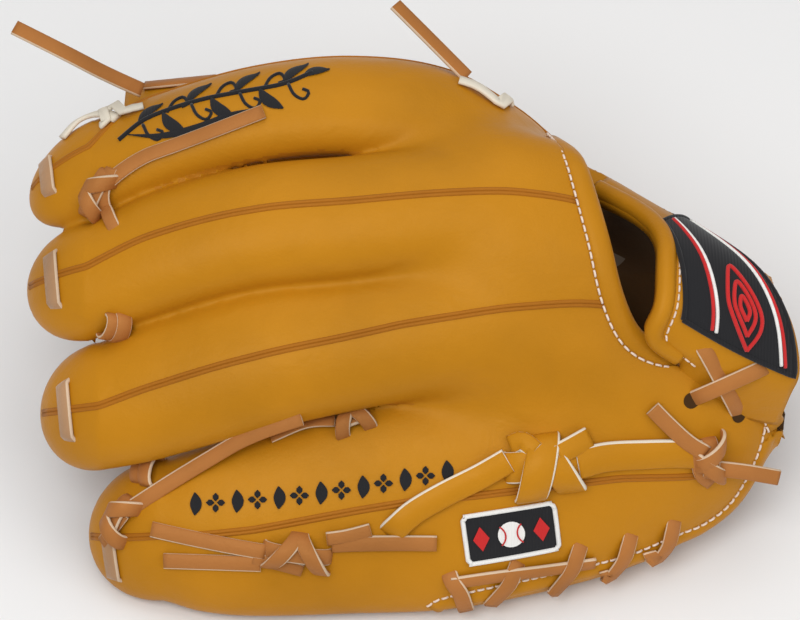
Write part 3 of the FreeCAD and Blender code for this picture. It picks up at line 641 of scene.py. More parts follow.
# ---- Skins of the finger side ----
HAND_POINTS, HAND_FACES = surface_net(padded_hand, (-158, -132, -88), (160, 112, 6), GRID)
SETS = hand_panels(HAND_POINTS, HAND_FACES)
outside = np.concatenate([f for name, f in SETS.items() if name != "skin_lining"])
GROUND = Ground(HAND_POINTS, outside)
for panel in BACK_PANELS:
    piece("skin_" + panel, HAND_POINTS, list(SETS["skin_" + panel]), "shell", ROOT,
          ["back_panel_" + panel], "shell_leather")
piece("skin_palm", HAND_POINTS, list(SETS["skin_palm"]), "palm", ROOT, ["palm_shell"],
      "shell_leather")
piece("skin_lining", HAND_POINTS, list(SETS["skin_lining"]), "lining", ROOT, ["palm_lining"],
      "lining_leather")


# ---- Camera and light ----
def camera():
    """Long lens square to the back of the hand."""
    data = bpy.data.cameras.new("camera")
    obj = bpy.data.objects.new("camera", data)
    bpy.context.scene.collection.objects.link(obj)
    target = placed((0, 0, CAMERA_TARGET))[0]
    eye = placed((0, 0, CAMERA_TARGET + CAMERA_DISTANCE))[0]
    out = Vector(eye - target).normalized()
    up = Vector(turned((0, 1, 0))[0]).normalized()
    right = up.cross(out).normalized()
    matrix = Matrix((right, up, out)).transposed().to_4x4()
    matrix.translation = Vector(eye)
    obj.matrix_world = matrix
    data.sensor_width = 36.0
    data.lens = data.sensor_width * CAMERA_DISTANCE / CAMERA_WIDTH
    data.clip_end = 20
    bpy.context.scene.camera = obj


def lamp(name, place, size, power):
    """Soft square lamp aimed at the glove."""
    data = bpy.data.lights.new(name, "AREA")
    data.shape, data.size, data.energy = "SQUARE", size, power
    obj = bpy.data.objects.new(name, data)
    bpy.context.scene.collection.objects.link(obj)
    obj.location = place
    aim = Vector((0, 0, 0.08)) - Vector(place)
    obj.rotation_euler = aim.to_track_quat("-Z", "Y").to_euler()
    return obj


def studio():
    """Pale floor and soft light from the camera side."""
    mesh = bpy.data.meshes.new("floor")
    mesh.from_pydata([(-6, -6, 0), (6, -6, 0), (6, 6, 0), (-6, 6, 0)], [], [(0, 1, 2, 3)])
    floor = bpy.data.objects.new("floor", mesh)
    bpy.context.scene.collection.objects.link(floor)
    mesh.materials.append(base_material("pale_floor", (0.83, 0.83, 0.83), 0.9, 0.1)[0])
    key = lamp("key", (-0.5, -1.0, 1.7), 1.1, 17)
    fill = lamp("fill", (0.9, -0.9, 1.2), 1.4, 7)
    top = lamp("top", (0.0, 0.5, 1.9), 1.6, 10)
    world = bpy.data.worlds.new("world")
    bpy.context.scene.world = world
    world.use_nodes = True
    world.node_tree.nodes["Background"].inputs["Color"].default_value = (1, 1, 1, 1)
    world.node_tree.nodes["Background"].inputs["Strength"].default_value = 0.42


camera()
studio()

bpy.context.scene.view_settings.view_transform = "Standard"


# ---- Thumb ----
def thumb_skins():
    """Back halves and palm half of the thumb."""
    points, faces = surface_net(thumb_distance, (-89, -22, -182), (153, 96, -82), 2.0)
    across, out, width, depth, _ = stall_axes(THUMB, points[faces].mean(axis=1))
    angle = np.degrees(np.arctan2(across / width, out / depth))
    back = np.abs(angle) < SIDE_SEAM
    for name, pick, node, material in (
            ("skin_thumb_outer", back & (angle >= 0), "thumb_back_outer", "shell"),
            ("skin_thumb_inner", back & (angle < 0), "thumb_back_inner", "shell"),
            ("skin_thumb_palm", ~back, "thumb_palm", "palm")):
        piece(name, points, list(faces[pick]), material, THUMB_BODY, [node], "shell_leather")


thumb_skins()


# ---- Welts and bindings ----
def skin_path(distance, guesses):
    """Guessed points drawn to a surface, with the surface's outward normals."""
    points = drawn_to(distance, guesses, 4)
    return points, unit(gradient(distance, points))


def piping(name, path, normals, radius, spread, material, body, nodes, slot):
    """Rolled piping: two cords side by side along a path."""
    along = unit(np.gradient(path, axis=0))
    side = np.cross(along, normals)
    parts = [swept(path + side * offset, normals, circle(radius)) for offset in (-spread, spread)]
    piece(name, *joined(parts), material, body, nodes, slot)


def welt(name, stall, distance, last, body):
    """Double-line welt along a stall."""
    x = np.arange(stall["tip"][0] + 1.5, last, 3.0)
    path, normals = skin_path(distance, on_stall(stall, x, welt_angle(name, x)))
    piping("welt_piping_" + name, path - normals * 0.25, normals, 0.95, 0.75, "edge", body,
           ["welt_" + name], "trim_leather")


welt("index", INDEX, hand_distance, 67, ROOT)
welt("middle", MIDDLE, hand_distance, 74, ROOT)
welt("ring", RING, hand_distance, 84, ROOT)
welt("pinky", PINKY, hand_distance, 140, ROOT)
welt("thumb", THUMB, thumb_distance, 142, THUMB_BODY)


def stitches(name, path, normals, body, spacing, length, radius):
    """Row of short raised threads along a path."""
    path_fine = resample(np.concatenate([path, normals], axis=1), spacing / 2)
    centres, normals = path_fine[::2, :3], unit(path_fine[::2, 3:])
    along = unit(np.gradient(centres, axis=0))
    parts = []
    for c, n, t in zip(centres, normals, along):
        ends = np.array([c - t * length / 2 - n * 0.35, c - t * length / 4, c + t * length / 4,
                         c + t * length / 2 - n * 0.35])
        parts.append(swept(ends, np.array([n] * 4), circle(radius, 6)))
    piece(name, *joined(parts), "thread", body, (), "trim_leather")


def back_binding():
    """Padded roll along the back of the hand opening, with its stitch line."""
    edge = resample(np.array(BACK_EDGE[1:], float), 3.0)
    tops = [GROUND.drop(x - 2.0, y) for x, y in edge]
    path = smoothed([h for h, _ in tops], 6) + np.array([2.0, 0, 0])
    normals = unit(smoothed([n for _, n in tops], 8))
    along = unit(np.gradient(path, axis=0))
    side = unit(np.cross(along, normals))
    roll = swept(path - normals * 1.9 - side * 3.6, normals, ellipse(5.2, 3.6, 20))
    piece("roll_hand_opening", *roll, "shell", ROOT, ["back_binding"], "trim_leather")
    stitches("stitches_hand_opening", path + normals * 0.5 + side * 1.2, normals, ROOT,
             **BINDING_STITCH)


# Stitch line of the padded edge round the heel and along the pinky, (x, y).
HEEL_STITCHES = [(144, -32.8), (150.3, -40), (150.5, -48), (146.4, -62.7), (137.4, -79.5),
                 (126.3, -88.6), (115, -93), (96.8, -100.5), (82.2, -104.5), (50, -111.5),
                 (18, -118.5), (11, -122.5)]


def heel_binding():
    """Padded edge round the heel and along the pinky, with its stitch line."""
    path, normals = laid(HEEL_STITCHES, 0.0, 3.0, 6)
    along = unit(np.gradient(path, axis=0))
    outward = unit(np.cross(normals, along))
    roll = swept(path - normals * 2.2 + outward * 4.4, normals, ellipse(4.6, 3.2, 18))
    piece("binding_heel_edge", *roll, "shell", ROOT, ["heel_binding"], "trim_leather")
    stitches("stitches_heel_edge", path + normals * 0.45, normals, ROOT, **BINDING_STITCH)


back_binding()
heel_binding()


# ---- Fold leather and web ----
def crease_point(x):
    """Points of the crease at each x."""
    share = (np.asarray(x, float) - CREASE_HEEL[0]) / (CREASE_WEB[0] - CREASE_HEEL[0])
    return CREASE_HEEL + share[..., None] * (CREASE_WEB - CREASE_HEEL)


def polar(points):
    """Radius and angle about the crease."""
    offset = points - crease_point(points[:, 0])
    out, down = offset @ FOLD_OUT, offset @ FOLD_DOWN
    return np.hypot(out, down), np.degrees(np.arctan2(down, out))


def fold_sheet(x, count=28):
    """Points of the fold leather from the index edge to the thumb edge, and outward normals."""
    r_a, a = polar(on_stall(INDEX, x, SIDE_SEAM + 4, 1.0))
    r_b, b = polar(on_stall(THUMB, np.maximum(x, -74.0), -SIDE_SEAM - 4, 1.0))
    free = np.clip((-76 - x) / 40.0, 0, 1)
    b, r_b = b + (38 - b) * free, r_b + (22 - r_b) * free
    b = np.where(b < a + 20, a + 20, b)
    share = np.linspace(0, 1, count)[None, :]
    angle = a[:, None] + (b - a)[:, None] * share
    table = np.array(FOLD_RADIUS, float)
    middle = np.interp(x, table[:, 0], table[:, 1])[:, None]
    pull = np.sin(np.pi * share)
    radius = (r_a[:, None] * (1 - share) + r_b[:, None] * share) * (1 - pull) + middle * pull
    turn = np.radians(angle)[..., None]
    out = FOLD_OUT * np.cos(turn) + FOLD_DOWN * np.sin(turn)
    return crease_point(x)[:, None] + out * radius[..., None], out


def closed_sheet(top, low):
    """Closed solid between two grids of points."""
    n, m = top.shape[:2]
    faces = []
    for i in range(n - 1):
        for j in range(m - 1):
            a, b, c, d = i * m + j, i * m + j + 1, (i + 1) * m + j + 1, (i + 1) * m + j
            faces += [(a, b, c, d), (d + n * m, c + n * m, b + n * m, a + n * m)]
    rim = ([(0, j) for j in range(m)] + [(i, m - 1) for i in range(1, n)]
           + [(n - 1, j) for j in range(m - 2, -1, -1)] + [(i, 0) for i in range(n - 2, 0, -1)])
    loop = [i * m + j for i, j in rim]
    for a, b in zip(loop, loop[1:] + loop[:1]):
        faces.append((b, a, a + n * m, b + n * m))
    return np.concatenate([top.reshape(-1, 3), low.reshape(-1, 3)]), faces


def bending(obj, nodes):
    """Bake the transform of a piece that spans the fold between the finger side and the thumb side,
    and hide the CAD nodes that it stands for.
    """
    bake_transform(obj)
    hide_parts(*nodes)


def fold_leather():
    """Web and crotch leather in one sheet round the fold."""
    for name, x, nodes in (
            ("web_sheet", np.arange(-116, -31, 3.0), ["web_index_half", "web_thumb_half"]),
            ("crotch_sheet", np.arange(-32, 113, 4.0), ["crotch_index_half", "crotch_thumb_half"])):
        sheet, out = fold_sheet(x)
        rise = out * FOLD_THICK / 2
        points, faces = closed_sheet(sheet + rise, sheet - rise)
        bending(make_object(name, points, faces, [MAT["shell"]]), nodes)


fold_leather()

# ---- Wrist strap ----
# Rows of the strap: its edge beside the opening and its far edge. The first is under the flap.
STRAP_ROWS = [((112, -30, -22), (156, -46, -34)), ((114, -19, -9), (160, -33, -19)),
              ((99, -10, 0), (163, -24, -14)), ((103, 2, 4), (159, -5, -8)),
              ((104, 17, 0), (147, 14, -14)), ((104, 28, -10), (124, 30.5, -32)),
              ((97, 37, -26), (107, 40.5, -50)), ((80, 46, -44), (88, 53, -60))]


def strap_table():
    """Fine stations of the strap: middle, across, outward and half width."""
    near, far = (np.array([row[i] for row in STRAP_ROWS], float) for i in (0, 1))
    k = np.arange(len(near)) - 1.0
    fine = np.linspace(k[0], k[-1], 141)
    table = table_values(np.concatenate([k[:, None], near, far], axis=1), 0.05)
    rows = np.stack([np.interp(fine, table[:, 0], table[:, i]) for i in range(1, 7)], axis=1)
    near, far = smoothed(rows[:, :3], 30), smoothed(rows[:, 3:], 30)
    centre, half = (near + far) / 2, np.linalg.norm(far - near, axis=1) / 2
    side, along = unit(far - near), unit(np.gradient((near + far) / 2, axis=0))
    return fine, centre, side, unit(np.cross(side, along)), half


STRAP = strap_table()


def strap_points(k, share, height):
    """Points of the strap at stations k, shares across and heights above its middle."""
    fine, centre, side, up, half = STRAP
    pick = [np.interp(k, fine, column) for column in
            np.concatenate([centre, side, up, half[:, None]], axis=1).T]
    c, s, u = np.stack(pick[:3], -1), np.stack(pick[3:6], -1), np.stack(pick[6:9], -1)
    return c + s * (pick[9] * share)[..., None] + u * np.asarray(height)[..., None], u


def strap_share(k, distance):
    """Share across the strap at a distance in mm from its edge beside the opening."""
    return distance / np.interp(k, STRAP[0], STRAP[4]) - 1.0


def arch(share):
    """Height of the padded strap's middle over a flat one, across its width."""
    return 3.5 * (1 - np.asarray(share, float) ** 2)


def strap_sheet(name, k, share, low, high, material, nodes, slot):
    """Closed layer of the strap between two heights over a grid of stations and shares."""
    raised, _ = strap_points(k, share, high + arch(share))
    lowered, _ = strap_points(k, share, low + arch(share))
    piece(name, *closed_sheet(raised, lowered), material, STRAP_BODY, nodes, slot)


def strap_thread(name, k, share, height, radius, material):
    """Thread along the strap at stations and shares."""
    path, out = strap_points(k, share, height + arch(share))
    piece(name, *swept(path, out, circle(radius, 8)), material, STRAP_BODY, (), "patch_fabric")


def wrist_strap():
    """Padded strap with a rolled and stitched edge."""
    k, share = np.meshgrid(np.linspace(-1, 6, 71), np.linspace(-1, 1, 21), indexing="ij")
    strap_sheet("strap_leather", k, share, -2.0, 2.0, "shell", ["wrist_strap"], "shell_leather")
    k = np.linspace(0.3, 6.0, 100)
    share = strap_share(k, 3.6)
    path, out = strap_points(k, share, 1.2 + arch(share))
    piece("strap_rolled_edge", *swept(path, out, circle(4.0, 16)), "shell", STRAP_BODY,
          ["strap_roll"], "trim_leather")
    k = np.linspace(0.2, 4.1, 60)
    share = strap_share(k, 8.6)
    path, out = strap_points(k, share, 2.2 + arch(share))
    stitches("strap_stitches", path, out, STRAP_BODY, 3.6, 2.6, 0.45)


PATCH_SIDES = (-0.60, 0.93)
PATCH_TOP = 4.3


def patch_low(share):
    """Station of the patch's slanted lower edge."""
    return 1.75 - 0.62 * (np.asarray(share, float) - PATCH_SIDES[0])


def patch_station(up, share):
    """Station a share of the way up the patch."""
    return patch_low(share) + up * (PATCH_TOP - patch_low(share))


def wrist_patch():
    """Woven patch: dark field, overlocked border, stripes and a plain lozenge figure."""
    up, share = np.meshgrid(np.linspace(0, 1, 34), np.linspace(*PATCH_SIDES, 17), indexing="ij")
    strap_sheet("patch_field", patch_station(up, share), share, 2.1, 3.5, "black", ["strap_patch"],
                "patch_fabric")
    corners = [(0, PATCH_SIDES[0]), (1, PATCH_SIDES[0]), (1, PATCH_SIDES[1]), (0, PATCH_SIDES[1]),
               (0, PATCH_SIDES[0])]
    loop = np.concatenate([np.linspace(a, b, 24, endpoint=False)
                           for a, b in zip(corners, corners[1:])] + [[corners[0]]])
    strap_thread("patch_border", patch_station(*loop.T), loop[:, 1], 3.1, 1.1, "black")
    up = np.linspace(0.05, 0.97, 50)
    for letter, place, material in (("a", -0.20, "red"), ("b", -0.14, "white"),
                                    ("c", 0.74, "white"), ("d", 0.795, "red")):
        share = np.full(len(up), place)
        strap_thread("patch_stripe_" + letter, patch_station(up, share), share, 3.5, 0.8, material)
    corners = [(-0.26, 0.28), (0.0, 0.52), (0.26, 0.28), (0.0, 0.04), (-0.26, 0.28)]
    lozenge = resample(corners, 0.02)
    for number, size in enumerate((1.0, 0.62, 0.28)):
        figure = (lozenge - (0, 0.28)) * size + (0.30, 0.28)
        strap_thread("patch_lozenge_%d" % number, patch_station(*figure.T), figure[:, 1], 3.6, 0.9,
                     "red")


wrist_strap()
wrist_patch()


def strap_at(x, y):
    """Point of the strap's outer face seen over (x, y)."""
    k, share = np.meshgrid(np.linspace(-1, 5, 121), np.linspace(-1, 1, 61), indexing="ij")
    points, _ = strap_points(k, share, 2.0 + arch(share))
    miss = np.hypot(points[..., 0] - x, points[..., 1] - y) - points[..., 2] * 0.02
    return points[np.unravel_index(miss.argmin(), miss.shape)]


# ---- Laces ----
def ribbon_parts(path, normals, width=LACE_WIDTH, thick=LACE_THICK):
    """Points, faces and face materials of a flat lace: 0 on its sides, 1 on its cut edges."""
    outline = strap_outline(width, thick)
    points, faces = swept(path, normals, outline)
    sides = len(outline)
    marks = [int(k % sides in STRAP_EDGE_SIDES) for k in range(len(faces) - 2)]
    return points, faces, marks + [1, 1]


def lace_object(name, parts, materials=("lace", "raw")):
    """One piece from several lengths of lace."""
    points, faces = joined([(p, f) for p, f, _ in parts])
    marks = [mark for _, _, part in parts for mark in part]
    return make_object(name, points, faces, [MAT[m] for m in materials], marks)


def lace_piece(name, parts, nodes=(), materials=("lace", "raw")):
    """Finished lace that rides the finger side."""
    return finished(lace_object(name, parts, materials), ROOT, nodes)


def facing_all(facing, count):
    """The same outward normal for every point of a path."""
    return np.repeat(unit(np.array([facing], float)), count, axis=0)


def wrap(centre, along, side, up, offset, slant, width, height, lace_width, thick=LACE_THICK):
    """Half turn of lace over the top of a knot; its ends go down at both sides."""
    turn = np.radians(np.linspace(-38, 218, 22))[:, None]
    path = (centre + along * (offset + slant * np.cos(turn)) + side * (width / 2) * np.cos(turn)
            + up * height * np.sin(turn))
    return ribbon_parts(path, side * np.cos(turn) + up * np.sin(turn), lace_width, thick)


def knot_frame(x, y, heading):
    """Centre on the skin with directions along the knot, across it and out of the skin."""
    centre, up = GROUND.drop(x, y)
    turn = math.radians(heading)
    along = np.array([math.cos(turn), math.sin(turn), 0.0])
    along = unit(along - up * (along @ up))
    return centre, along, np.cross(up, along), up


def knot_parts(x, y, heading, length, width, height, lace_width,
               wraps=((-0.22, 0.2), (0.22, -0.2))):
    """Lace knot: a core along its length under wraps given as (place, slant) shares."""
    centre, along, side, up = knot_frame(x, y, heading)
    turn = np.radians(np.linspace(-20, 200, 20))[:, None]
    core = (centre + along * (length / 2) * np.cos(turn)
            + up * (height - LACE_THICK) * np.sin(turn))
    core_out = along * np.cos(turn) + up * np.sin(turn)
    parts = [ribbon_parts(core, core_out, lace_width * 1.05)]
    for place, slant in wraps:
        parts.append(wrap(centre, along, side, up, place * length, slant * length, width,
                          height + LACE_THICK * 0.4, lace_width))
    return parts


def lying(route, lift, width, thick=LACE_THICK):
    """Lace lying on the skins along (x, y, extra lift) points; extra lift below zero dives in."""
    path, normals = laid(route, lift, 1.5, 5)
    return ribbon_parts(path, normals, width, thick)


def hole_shade_disc(x, y):
    """Disc of painted shade, in the dark lining material, where a lace goes through a hole."""
    centre, along, side, up = knot_frame(x, y, 0)
    turn = np.linspace(0, 2 * np.pi, 18, endpoint=False)[:, None]
    ring = centre + (along * np.cos(turn) + side * np.sin(turn)) * 3.4 + up * 0.12
    points = np.concatenate([ring, [centre + up * 0.12]])
    return points, [(k, (k + 1) % 18, 18) for k in range(18)]


def fingertip_laces():
    """Lace across each fingertip, flesh side out, in one piece with the dips between."""
    parts = []
    for stall, x, high, low in ((INDEX, -146.0, 34, -42), (MIDDLE, -142.5, 44, -40),
                                (RING, -137.0, 40, -40), (PINKY, -119.0, 8, -58)):
        angles = np.linspace(high, low, 26)
        lift = np.interp(np.arange(26), [0, 4, 21, 25], [-3.0, 1.1, 1.1, -3.0])
        base = on_stall(stall, np.linspace(x - 1.5, x + 1.5, 26), angles)
        path, normals = skin_path(hand_distance, base)
        normals = unit(smoothed(normals, 6))
        parts.append(ribbon_parts(path + normals * lift[:, None], normals, 7.0))
    lace_piece("lace_fingertips", parts, ["tip_lace"], ("suede", "raw"))


def between_fingers(name, x, y, node):
    """Loop of lace round the pair of welts between two stalls."""
    centre, along, side, up = knot_frame(x, y, 84)
    parts = [wrap(centre, side, along, up, -1.6, 1.2, 15.0, 4.6, 6.6),
             wrap(centre, side, along, up, 3.6, 0.6, 13.0, 3.8, 5.6)]
    lace_piece(name, parts, [node])


def spline_points(route):
    """Points along the smooth line of a cord whose route points are its control points."""
    curve = bpy.data.curves.new("route", "CURVE")
    curve.dimensions = "3D"
    spline = curve.splines.new("NURBS")
    spline.points.add(len(route) - 1)
    for point, place in zip(spline.points, route):
        point.co = (*place, 1.0)
    spline.order_u = 3
    spline.use_endpoint_u = True
    spline.resolution_u = 12
    obj = bpy.data.objects.new("route", curve)
    mesh = bpy.data.meshes.new_from_object(obj)
    points = np.array([vertex.co[:] for vertex in mesh.vertices])
    bpy.data.meshes.remove(mesh)
    bpy.data.objects.remove(obj)
    bpy.data.curves.remove(curve)
    return points


def tail(name, node, route, facing):
    """Free flat lace along its route."""
    path = spline_points(route)
    obj = lace_piece(name, [ribbon_parts(path, facing_all(facing, len(path)))], [node])


fingertip_laces()
between_fingers("loop_middle_ring", -116.5, -7.0, "middle_ring_loop")
between_fingers("loop_ring_pinky", -103.5, -65.5, "ring_pinky_loop")

# Free tails: piece, node, route, facing.
tail("tail_index", "cord_index_tail",
     [(-125, 48, -29.5), (-112, 61, -27), (-88, 69, -23.8), (-56, 81.5, -23.3)], (0, 0.5, 0.87))
tail("tail_web_tip", "cord_web_tip_tail",
     [(-108, 92, -62), (-122, 98, -58), (-139, 107, -55), (-161, 118, -57)], (0.1, 0.3, 0.95))
tail("tail_web_base", "cord_web_base_tail",
     [(28, 97, -49.5), (13, 112, -47), (-2, 127, -48.5)], (0.5, 0.3, 0.8))
tail("tail_pinky_tip", "cord_pinky_tip_tail",
     [(-113, -83, -30), (-98, -73, -24.5), (-80, -62, -20.5), (-60, -50, -12.5),
      (-40, -44, -9)], (0, 0, 1))
tail("tail_pinky_upper", "cord_pinky_tail_upper",
     [(-55, -99, -17), (-75, -96, -18.5), (-102, -90, -24)], (0, -0.15, 1))
tail("tail_pinky_lower", "cord_pinky_tail_lower",
     [(-57, -104, -18.8), (-72, -103.5, -19.6), (-97, -103, -24.2)], (0, -0.25, 1))
tail("tail_pinky_right", "cord_pinky_tail_right",
     [(-28, -96, -16.6), (-12, -95, -16.2), (15, -95.5, -17.2)], (0, -0.2, 1))


def knots():
    """Lace knots on the fingers and the pinky."""
    rows = [
        ("knot_index", "index_knot", (-125, 48, 62, 20, 11, 6.5, 6.5),
         [[(-118, 58, 0.4), (-122, 47, 2.4), (-119, 38, 1.0), (-117, 33, -2.5)]]),
        ("knot_pinky_tip", "pinky_tip_knot", (-115, -86, 55, 19, 12, 6.5, 6.5),
         [[(-122, -96, 0.3), (-118, -91, 0.6), (-112, -84, 1.6)]]),
        ("knot_ring_pinky", "ring_pinky_knot", (-19, -46, 20, 14, 9, 5.0, 6.0),
         [[(-53, -53, 0.5), (-38, -47.5, 0.8), (-26, -46.5, 1.4)]]),
        ("knot_pinky_double", "pinky_double_knot", (-42, -99, -8, 27, 15, 7.0, 6.5),
         [[(-30, -93, 1.5), (-22, -92, 0.8), (-12, -89.5, 0.6)],
          [(-60, -101, 0.8), (-50, -103, 1.5), (-40, -106, 0.5)]]),
    ]
    for name, node, (x, y, heading, length, width, height, lace), ends in rows:
        parts = knot_parts(x, y, heading, length, width, height, lace)
        for route in ends:
            parts.append(lying(route, 1.1, 5.6))
        lace_piece(name, parts, [node])


knots()


def corner_lace():
    """Knot, loop and two short tails at the end of the adjusting strap."""
    parts = knot_parts(126.5, -60.5, 100, 17, 13, 6.5, 6.5, wraps=((-0.2, 0.35), (0.2, -0.3)))
    parts.append(lying([(102.5, -39.5, 1.5), (109, -46, 1.6), (117, -53, 2.2), (124, -57, 3.0)],
                       1.0, 6.8))
    start, up = GROUND.drop(129, -63.5)
    free = resample([start + up * 3.5, start + (13, -3, 2.5), start + (27, -5.5, -3.5)], 1.5)
    parts.append(ribbon_parts(free, facing_all((0.2, -0.2, 1.0), len(free)), 6.6))
    parts.append(lying([(121, -56, 1.5), (122.5, -66, 1.2), (127.5, -70.5, 0.8)], 1.0, 5.6))
    lace_piece("knot_corner", parts, ["corner_knot"])


def cross():
    """Crossed lace over the flap."""
    parts = []
    for low, high, rise in (((139.5, -43.5), (122, -14), 1.5), ((119, -36.5), (150, -22.5), 3.4)):
        foot = GROUND.drop(*low)[0]
        top = strap_at(*high)
        share = np.linspace(0, 1, 30)
        ends = np.interp(share, [0, 0.12, 0.88, 1], [-2.5, 1.4, 1.4, -2.5])
        lift = rise * np.sin(np.pi * share) + ends
        base = foot + (top - foot) * share[:, None]
        under = np.array([GROUND.drop(x, y)[0][2] for x, y in base[:, :2]])
        base[:, 2] = np.maximum(base[:, 2], np.where(share < 0.45, under, -99)) + lift
        normals = facing_all((0.1, -0.1, 1.0), len(base))
        parts.append(ribbon_parts(smoothed(base, 6), normals, 6.6))
    lace_piece("lace_cross", parts, ["cross_lace"])
    # Painted shade discs over the two holes that the crossed lace goes through.
    piece("painted_shade_cross_holes", *joined([hole_shade_disc(139, -43), hole_shade_disc(119, -37)]), "lining", ROOT)


corner_lace()
cross()


def adjusting_strap():
    """Strap of shell leather through the pinky's back, tied in a soft knot."""
    thick = LEATHER_THICK
    parts = [lying([(-4.5, -92, -2.6), (-1, -88, 0.6), (6, -82, 0.8), (18, -75, 0.9),
                    (32, -68, 1.4), (44, -61, 3.6)], 1.2, 10.5, thick),
             lying([(72, -62, 3.6), (84, -59.5, 1.0), (100, -58.5, 0.8), (113, -58, 0.8),
                    (122, -58.5, 0.6)], 1.2, 12.5, thick)]
    centre, along, side, up = knot_frame(59, -64, 8)
    parts.append(wrap(centre, along, side, up, -3.0, 4.5, 25.0, 8.6, 13.0, thick))
    parts.append(wrap(centre, along, side, up, 4.5, -5.5, 22.0, 7.2, 12.0, thick))
    turn = np.radians(np.linspace(-15, 195, 20))[:, None]
    core = centre + along * 15.5 * np.cos(turn) + up * 6.2 * np.sin(turn) + side * 2.0
    parts.append(ribbon_parts(core, along * np.cos(turn) + up * np.sin(turn), 13.0, thick))
    parts.append(lying([(55, -57, 5.5), (50, -53.5, 3.5), (45, -55, 1.2)], 1.2, 8.0, thick))
    parts.append(lying([(64, -58, 5.5), (71, -54.5, 3.8), (77, -51.5, 1.4)], 1.2, 9.0, thick))
    obj = lace_object("strap_adjusting", parts, ("shell", "pale"))
    finished(obj, ROOT, ["adjusting_strap"])


adjusting_strap()


def whip_lace():
    """Lace whipped over the pinky edge, with its straight run."""
    parts = [lying([(21, -111.5, 0.6), (40, -108.5, 1.0), (60, -106, 1.0), (80, -103.5, 0.6)],
                   1.0, 5.6)]
    for top, foot in (((20, -108), (27, -122)), ((49, -103.5), (37, -120)),
                      ((75, -96.5), (62, -116.5)), ((96, -92.5), (84, -112)),
                      ((114, -87), (103, -106))):
        shoulder = (top[0] * 0.8 + foot[0] * 0.2, top[1] * 0.8 + foot[1] * 0.2)
        middle = ((top[0] + foot[0]) / 2 + 1.0, (top[1] + foot[1]) / 2)
        turn = [(*top, -2.4), (*shoulder, 0.8), (*middle, 1.8), (*foot, 0.9)]
        parts.append(lying(turn, 1.1, 6.8, 2.0))
    lace_piece("lace_heel_whip", parts, ["heel_whip_lace"])


whip_lace()


# ---- Badge and embroideries ----
def on_decal(place, figure, lift):
    """Figure points (u, v) drawn to the skin, raised, with normals."""
    centre, along, side, up = place
    figure = np.asarray(figure, float)
    guesses = centre + along * figure[:, :1] + side * figure[:, 1:2]
    near = [GROUND.near(p) for p in guesses]
    normals = unit(smoothed([n if n @ up > 0 else -n for _, n in near], 3))
    return np.array([h for h, _ in near]) + normals * lift, normals


def decal_disc(place, outline, lift, rings):
    """Filled figure, star-shaped about its middle."""
    outline = np.asarray(outline, float)
    middle = outline.mean(axis=0)
    count = len(outline)
    shares = np.linspace(1.0, 0.12, rings)
    figure = np.concatenate([middle + (outline - middle) * s for s in shares] + [[middle]])
    near = [GROUND.near(place[0] + place[1] * u + place[2] * v) for u, v in figure]
    points = np.array([np.array(h) + (n if n @ place[3] > 0 else -n) * lift for h, n in near])
    faces = []
    for r in range(rings - 1):
        for k in range(count):
            j = (k + 1) % count
            faces.append((r * count + k, r * count + j, (r + 1) * count + j, (r + 1) * count + k))
    last = (rings - 1) * count
    faces += [(last + k, last + (k + 1) % count, rings * count) for k in range(count)]
    return points, faces


def rounded_box(width, height, corner, count=8):
    """Outline of a rounded rectangle about the origin."""
    out = []
    for quarter, (sx, sy) in enumerate(((1, 1), (-1, 1), (-1, -1), (1, -1))):
        middle = np.array([sx * (width / 2 - corner), sy * (height / 2 - corner)])
        for k in range(count):
            turn = math.pi / 2 * (quarter + k / (count - 1))
            out.append(middle + corner * np.array([math.cos(turn), math.sin(turn)]))
    return np.array(out)


def closed_thread(place, outline, lift, radius, name, material):
    """Thread of the badge along a closed figure."""
    outline = resample(np.concatenate([outline, outline[:1]]), 1.6)
    path, normals = on_decal(place, outline, lift)
    piece(name, *swept(path, normals, circle(radius, 8)), material, ROOT, (), "badge_fabric")


def badge():
    """Woven badge: dark field, pale border, a plain ball and diamonds."""
    place = knot_frame(45.5, -91.5, 8)
    box = rounded_box(38, 21, 2.6)
    piece("badge_field", *decal_disc(place, box, 0.9, 7), "black", ROOT, ["side_badge"],
          "badge_fabric")
    closed_thread(place, box, 0.9, 1.0, "badge_border", "white")
    ball = np.array([(5.6 * math.cos(t), 5.6 * math.sin(t)) for t in np.linspace(0, 6.28, 25)[:-1]])
    piece("badge_ball", *decal_disc(place, ball, 1.35, 4), "white", ROOT, (), "badge_fabric")
    seams = []
    for sign in (-1, 1):
        turn = np.linspace(-0.95, 0.95, 9)
        arc = np.stack([sign * (7.4 - 5.0 * np.cos(turn)), 5.0 * np.sin(turn)], axis=1)
        path, normals = on_decal(place, arc, 1.55)
        seams.append(swept(path, normals, circle(0.35, 6)))
    piece("badge_seams", *joined(seams), "red", ROOT, (), "badge_fabric")
    marks = []
    for u in (-12.5, 12.5):
        diamond = np.array([(u + 3.4, 0), (u, 5.4), (u - 3.4, 0), (u, -5.4)])
        marks.append(decal_disc(place, diamond, 1.3, 3))
    piece("badge_diamonds", *joined(marks), "red", ROOT, (), "badge_fabric")


badge()


BLADE_RISE = 0.8
LEAF_LEAN = 6.0


def blade(route, widest):
    """Satin-stitched leaf along (x, y) points, pointed at both ends."""
    path, normals = laid(route, 0.55, 1.0, 3)
    share = np.linspace(0.03, 0.97, len(path))
    along = unit(np.gradient(path, axis=0))
    side = unit(np.cross(along, normals))
    width = widest / 2 * np.sin(np.pi * share)[:, None]
    rows = [path + side * width, path + normals * BLADE_RISE * 0.8, path - side * width]
    points = np.stack(rows, axis=1).reshape(-1, 3)
    faces = []
    for i in range(len(path) - 1):
        for j in (0, 1):
            a = i * 3 + j
            faces.append((a, a + 1, a + 4, a + 3))
    return points, faces


def stem(route, radius):
    """Raised thread along (x, y) points."""
    path, normals = laid(route, 0.3, 1.2, 3)
    return swept(path, normals, circle(radius, 8))


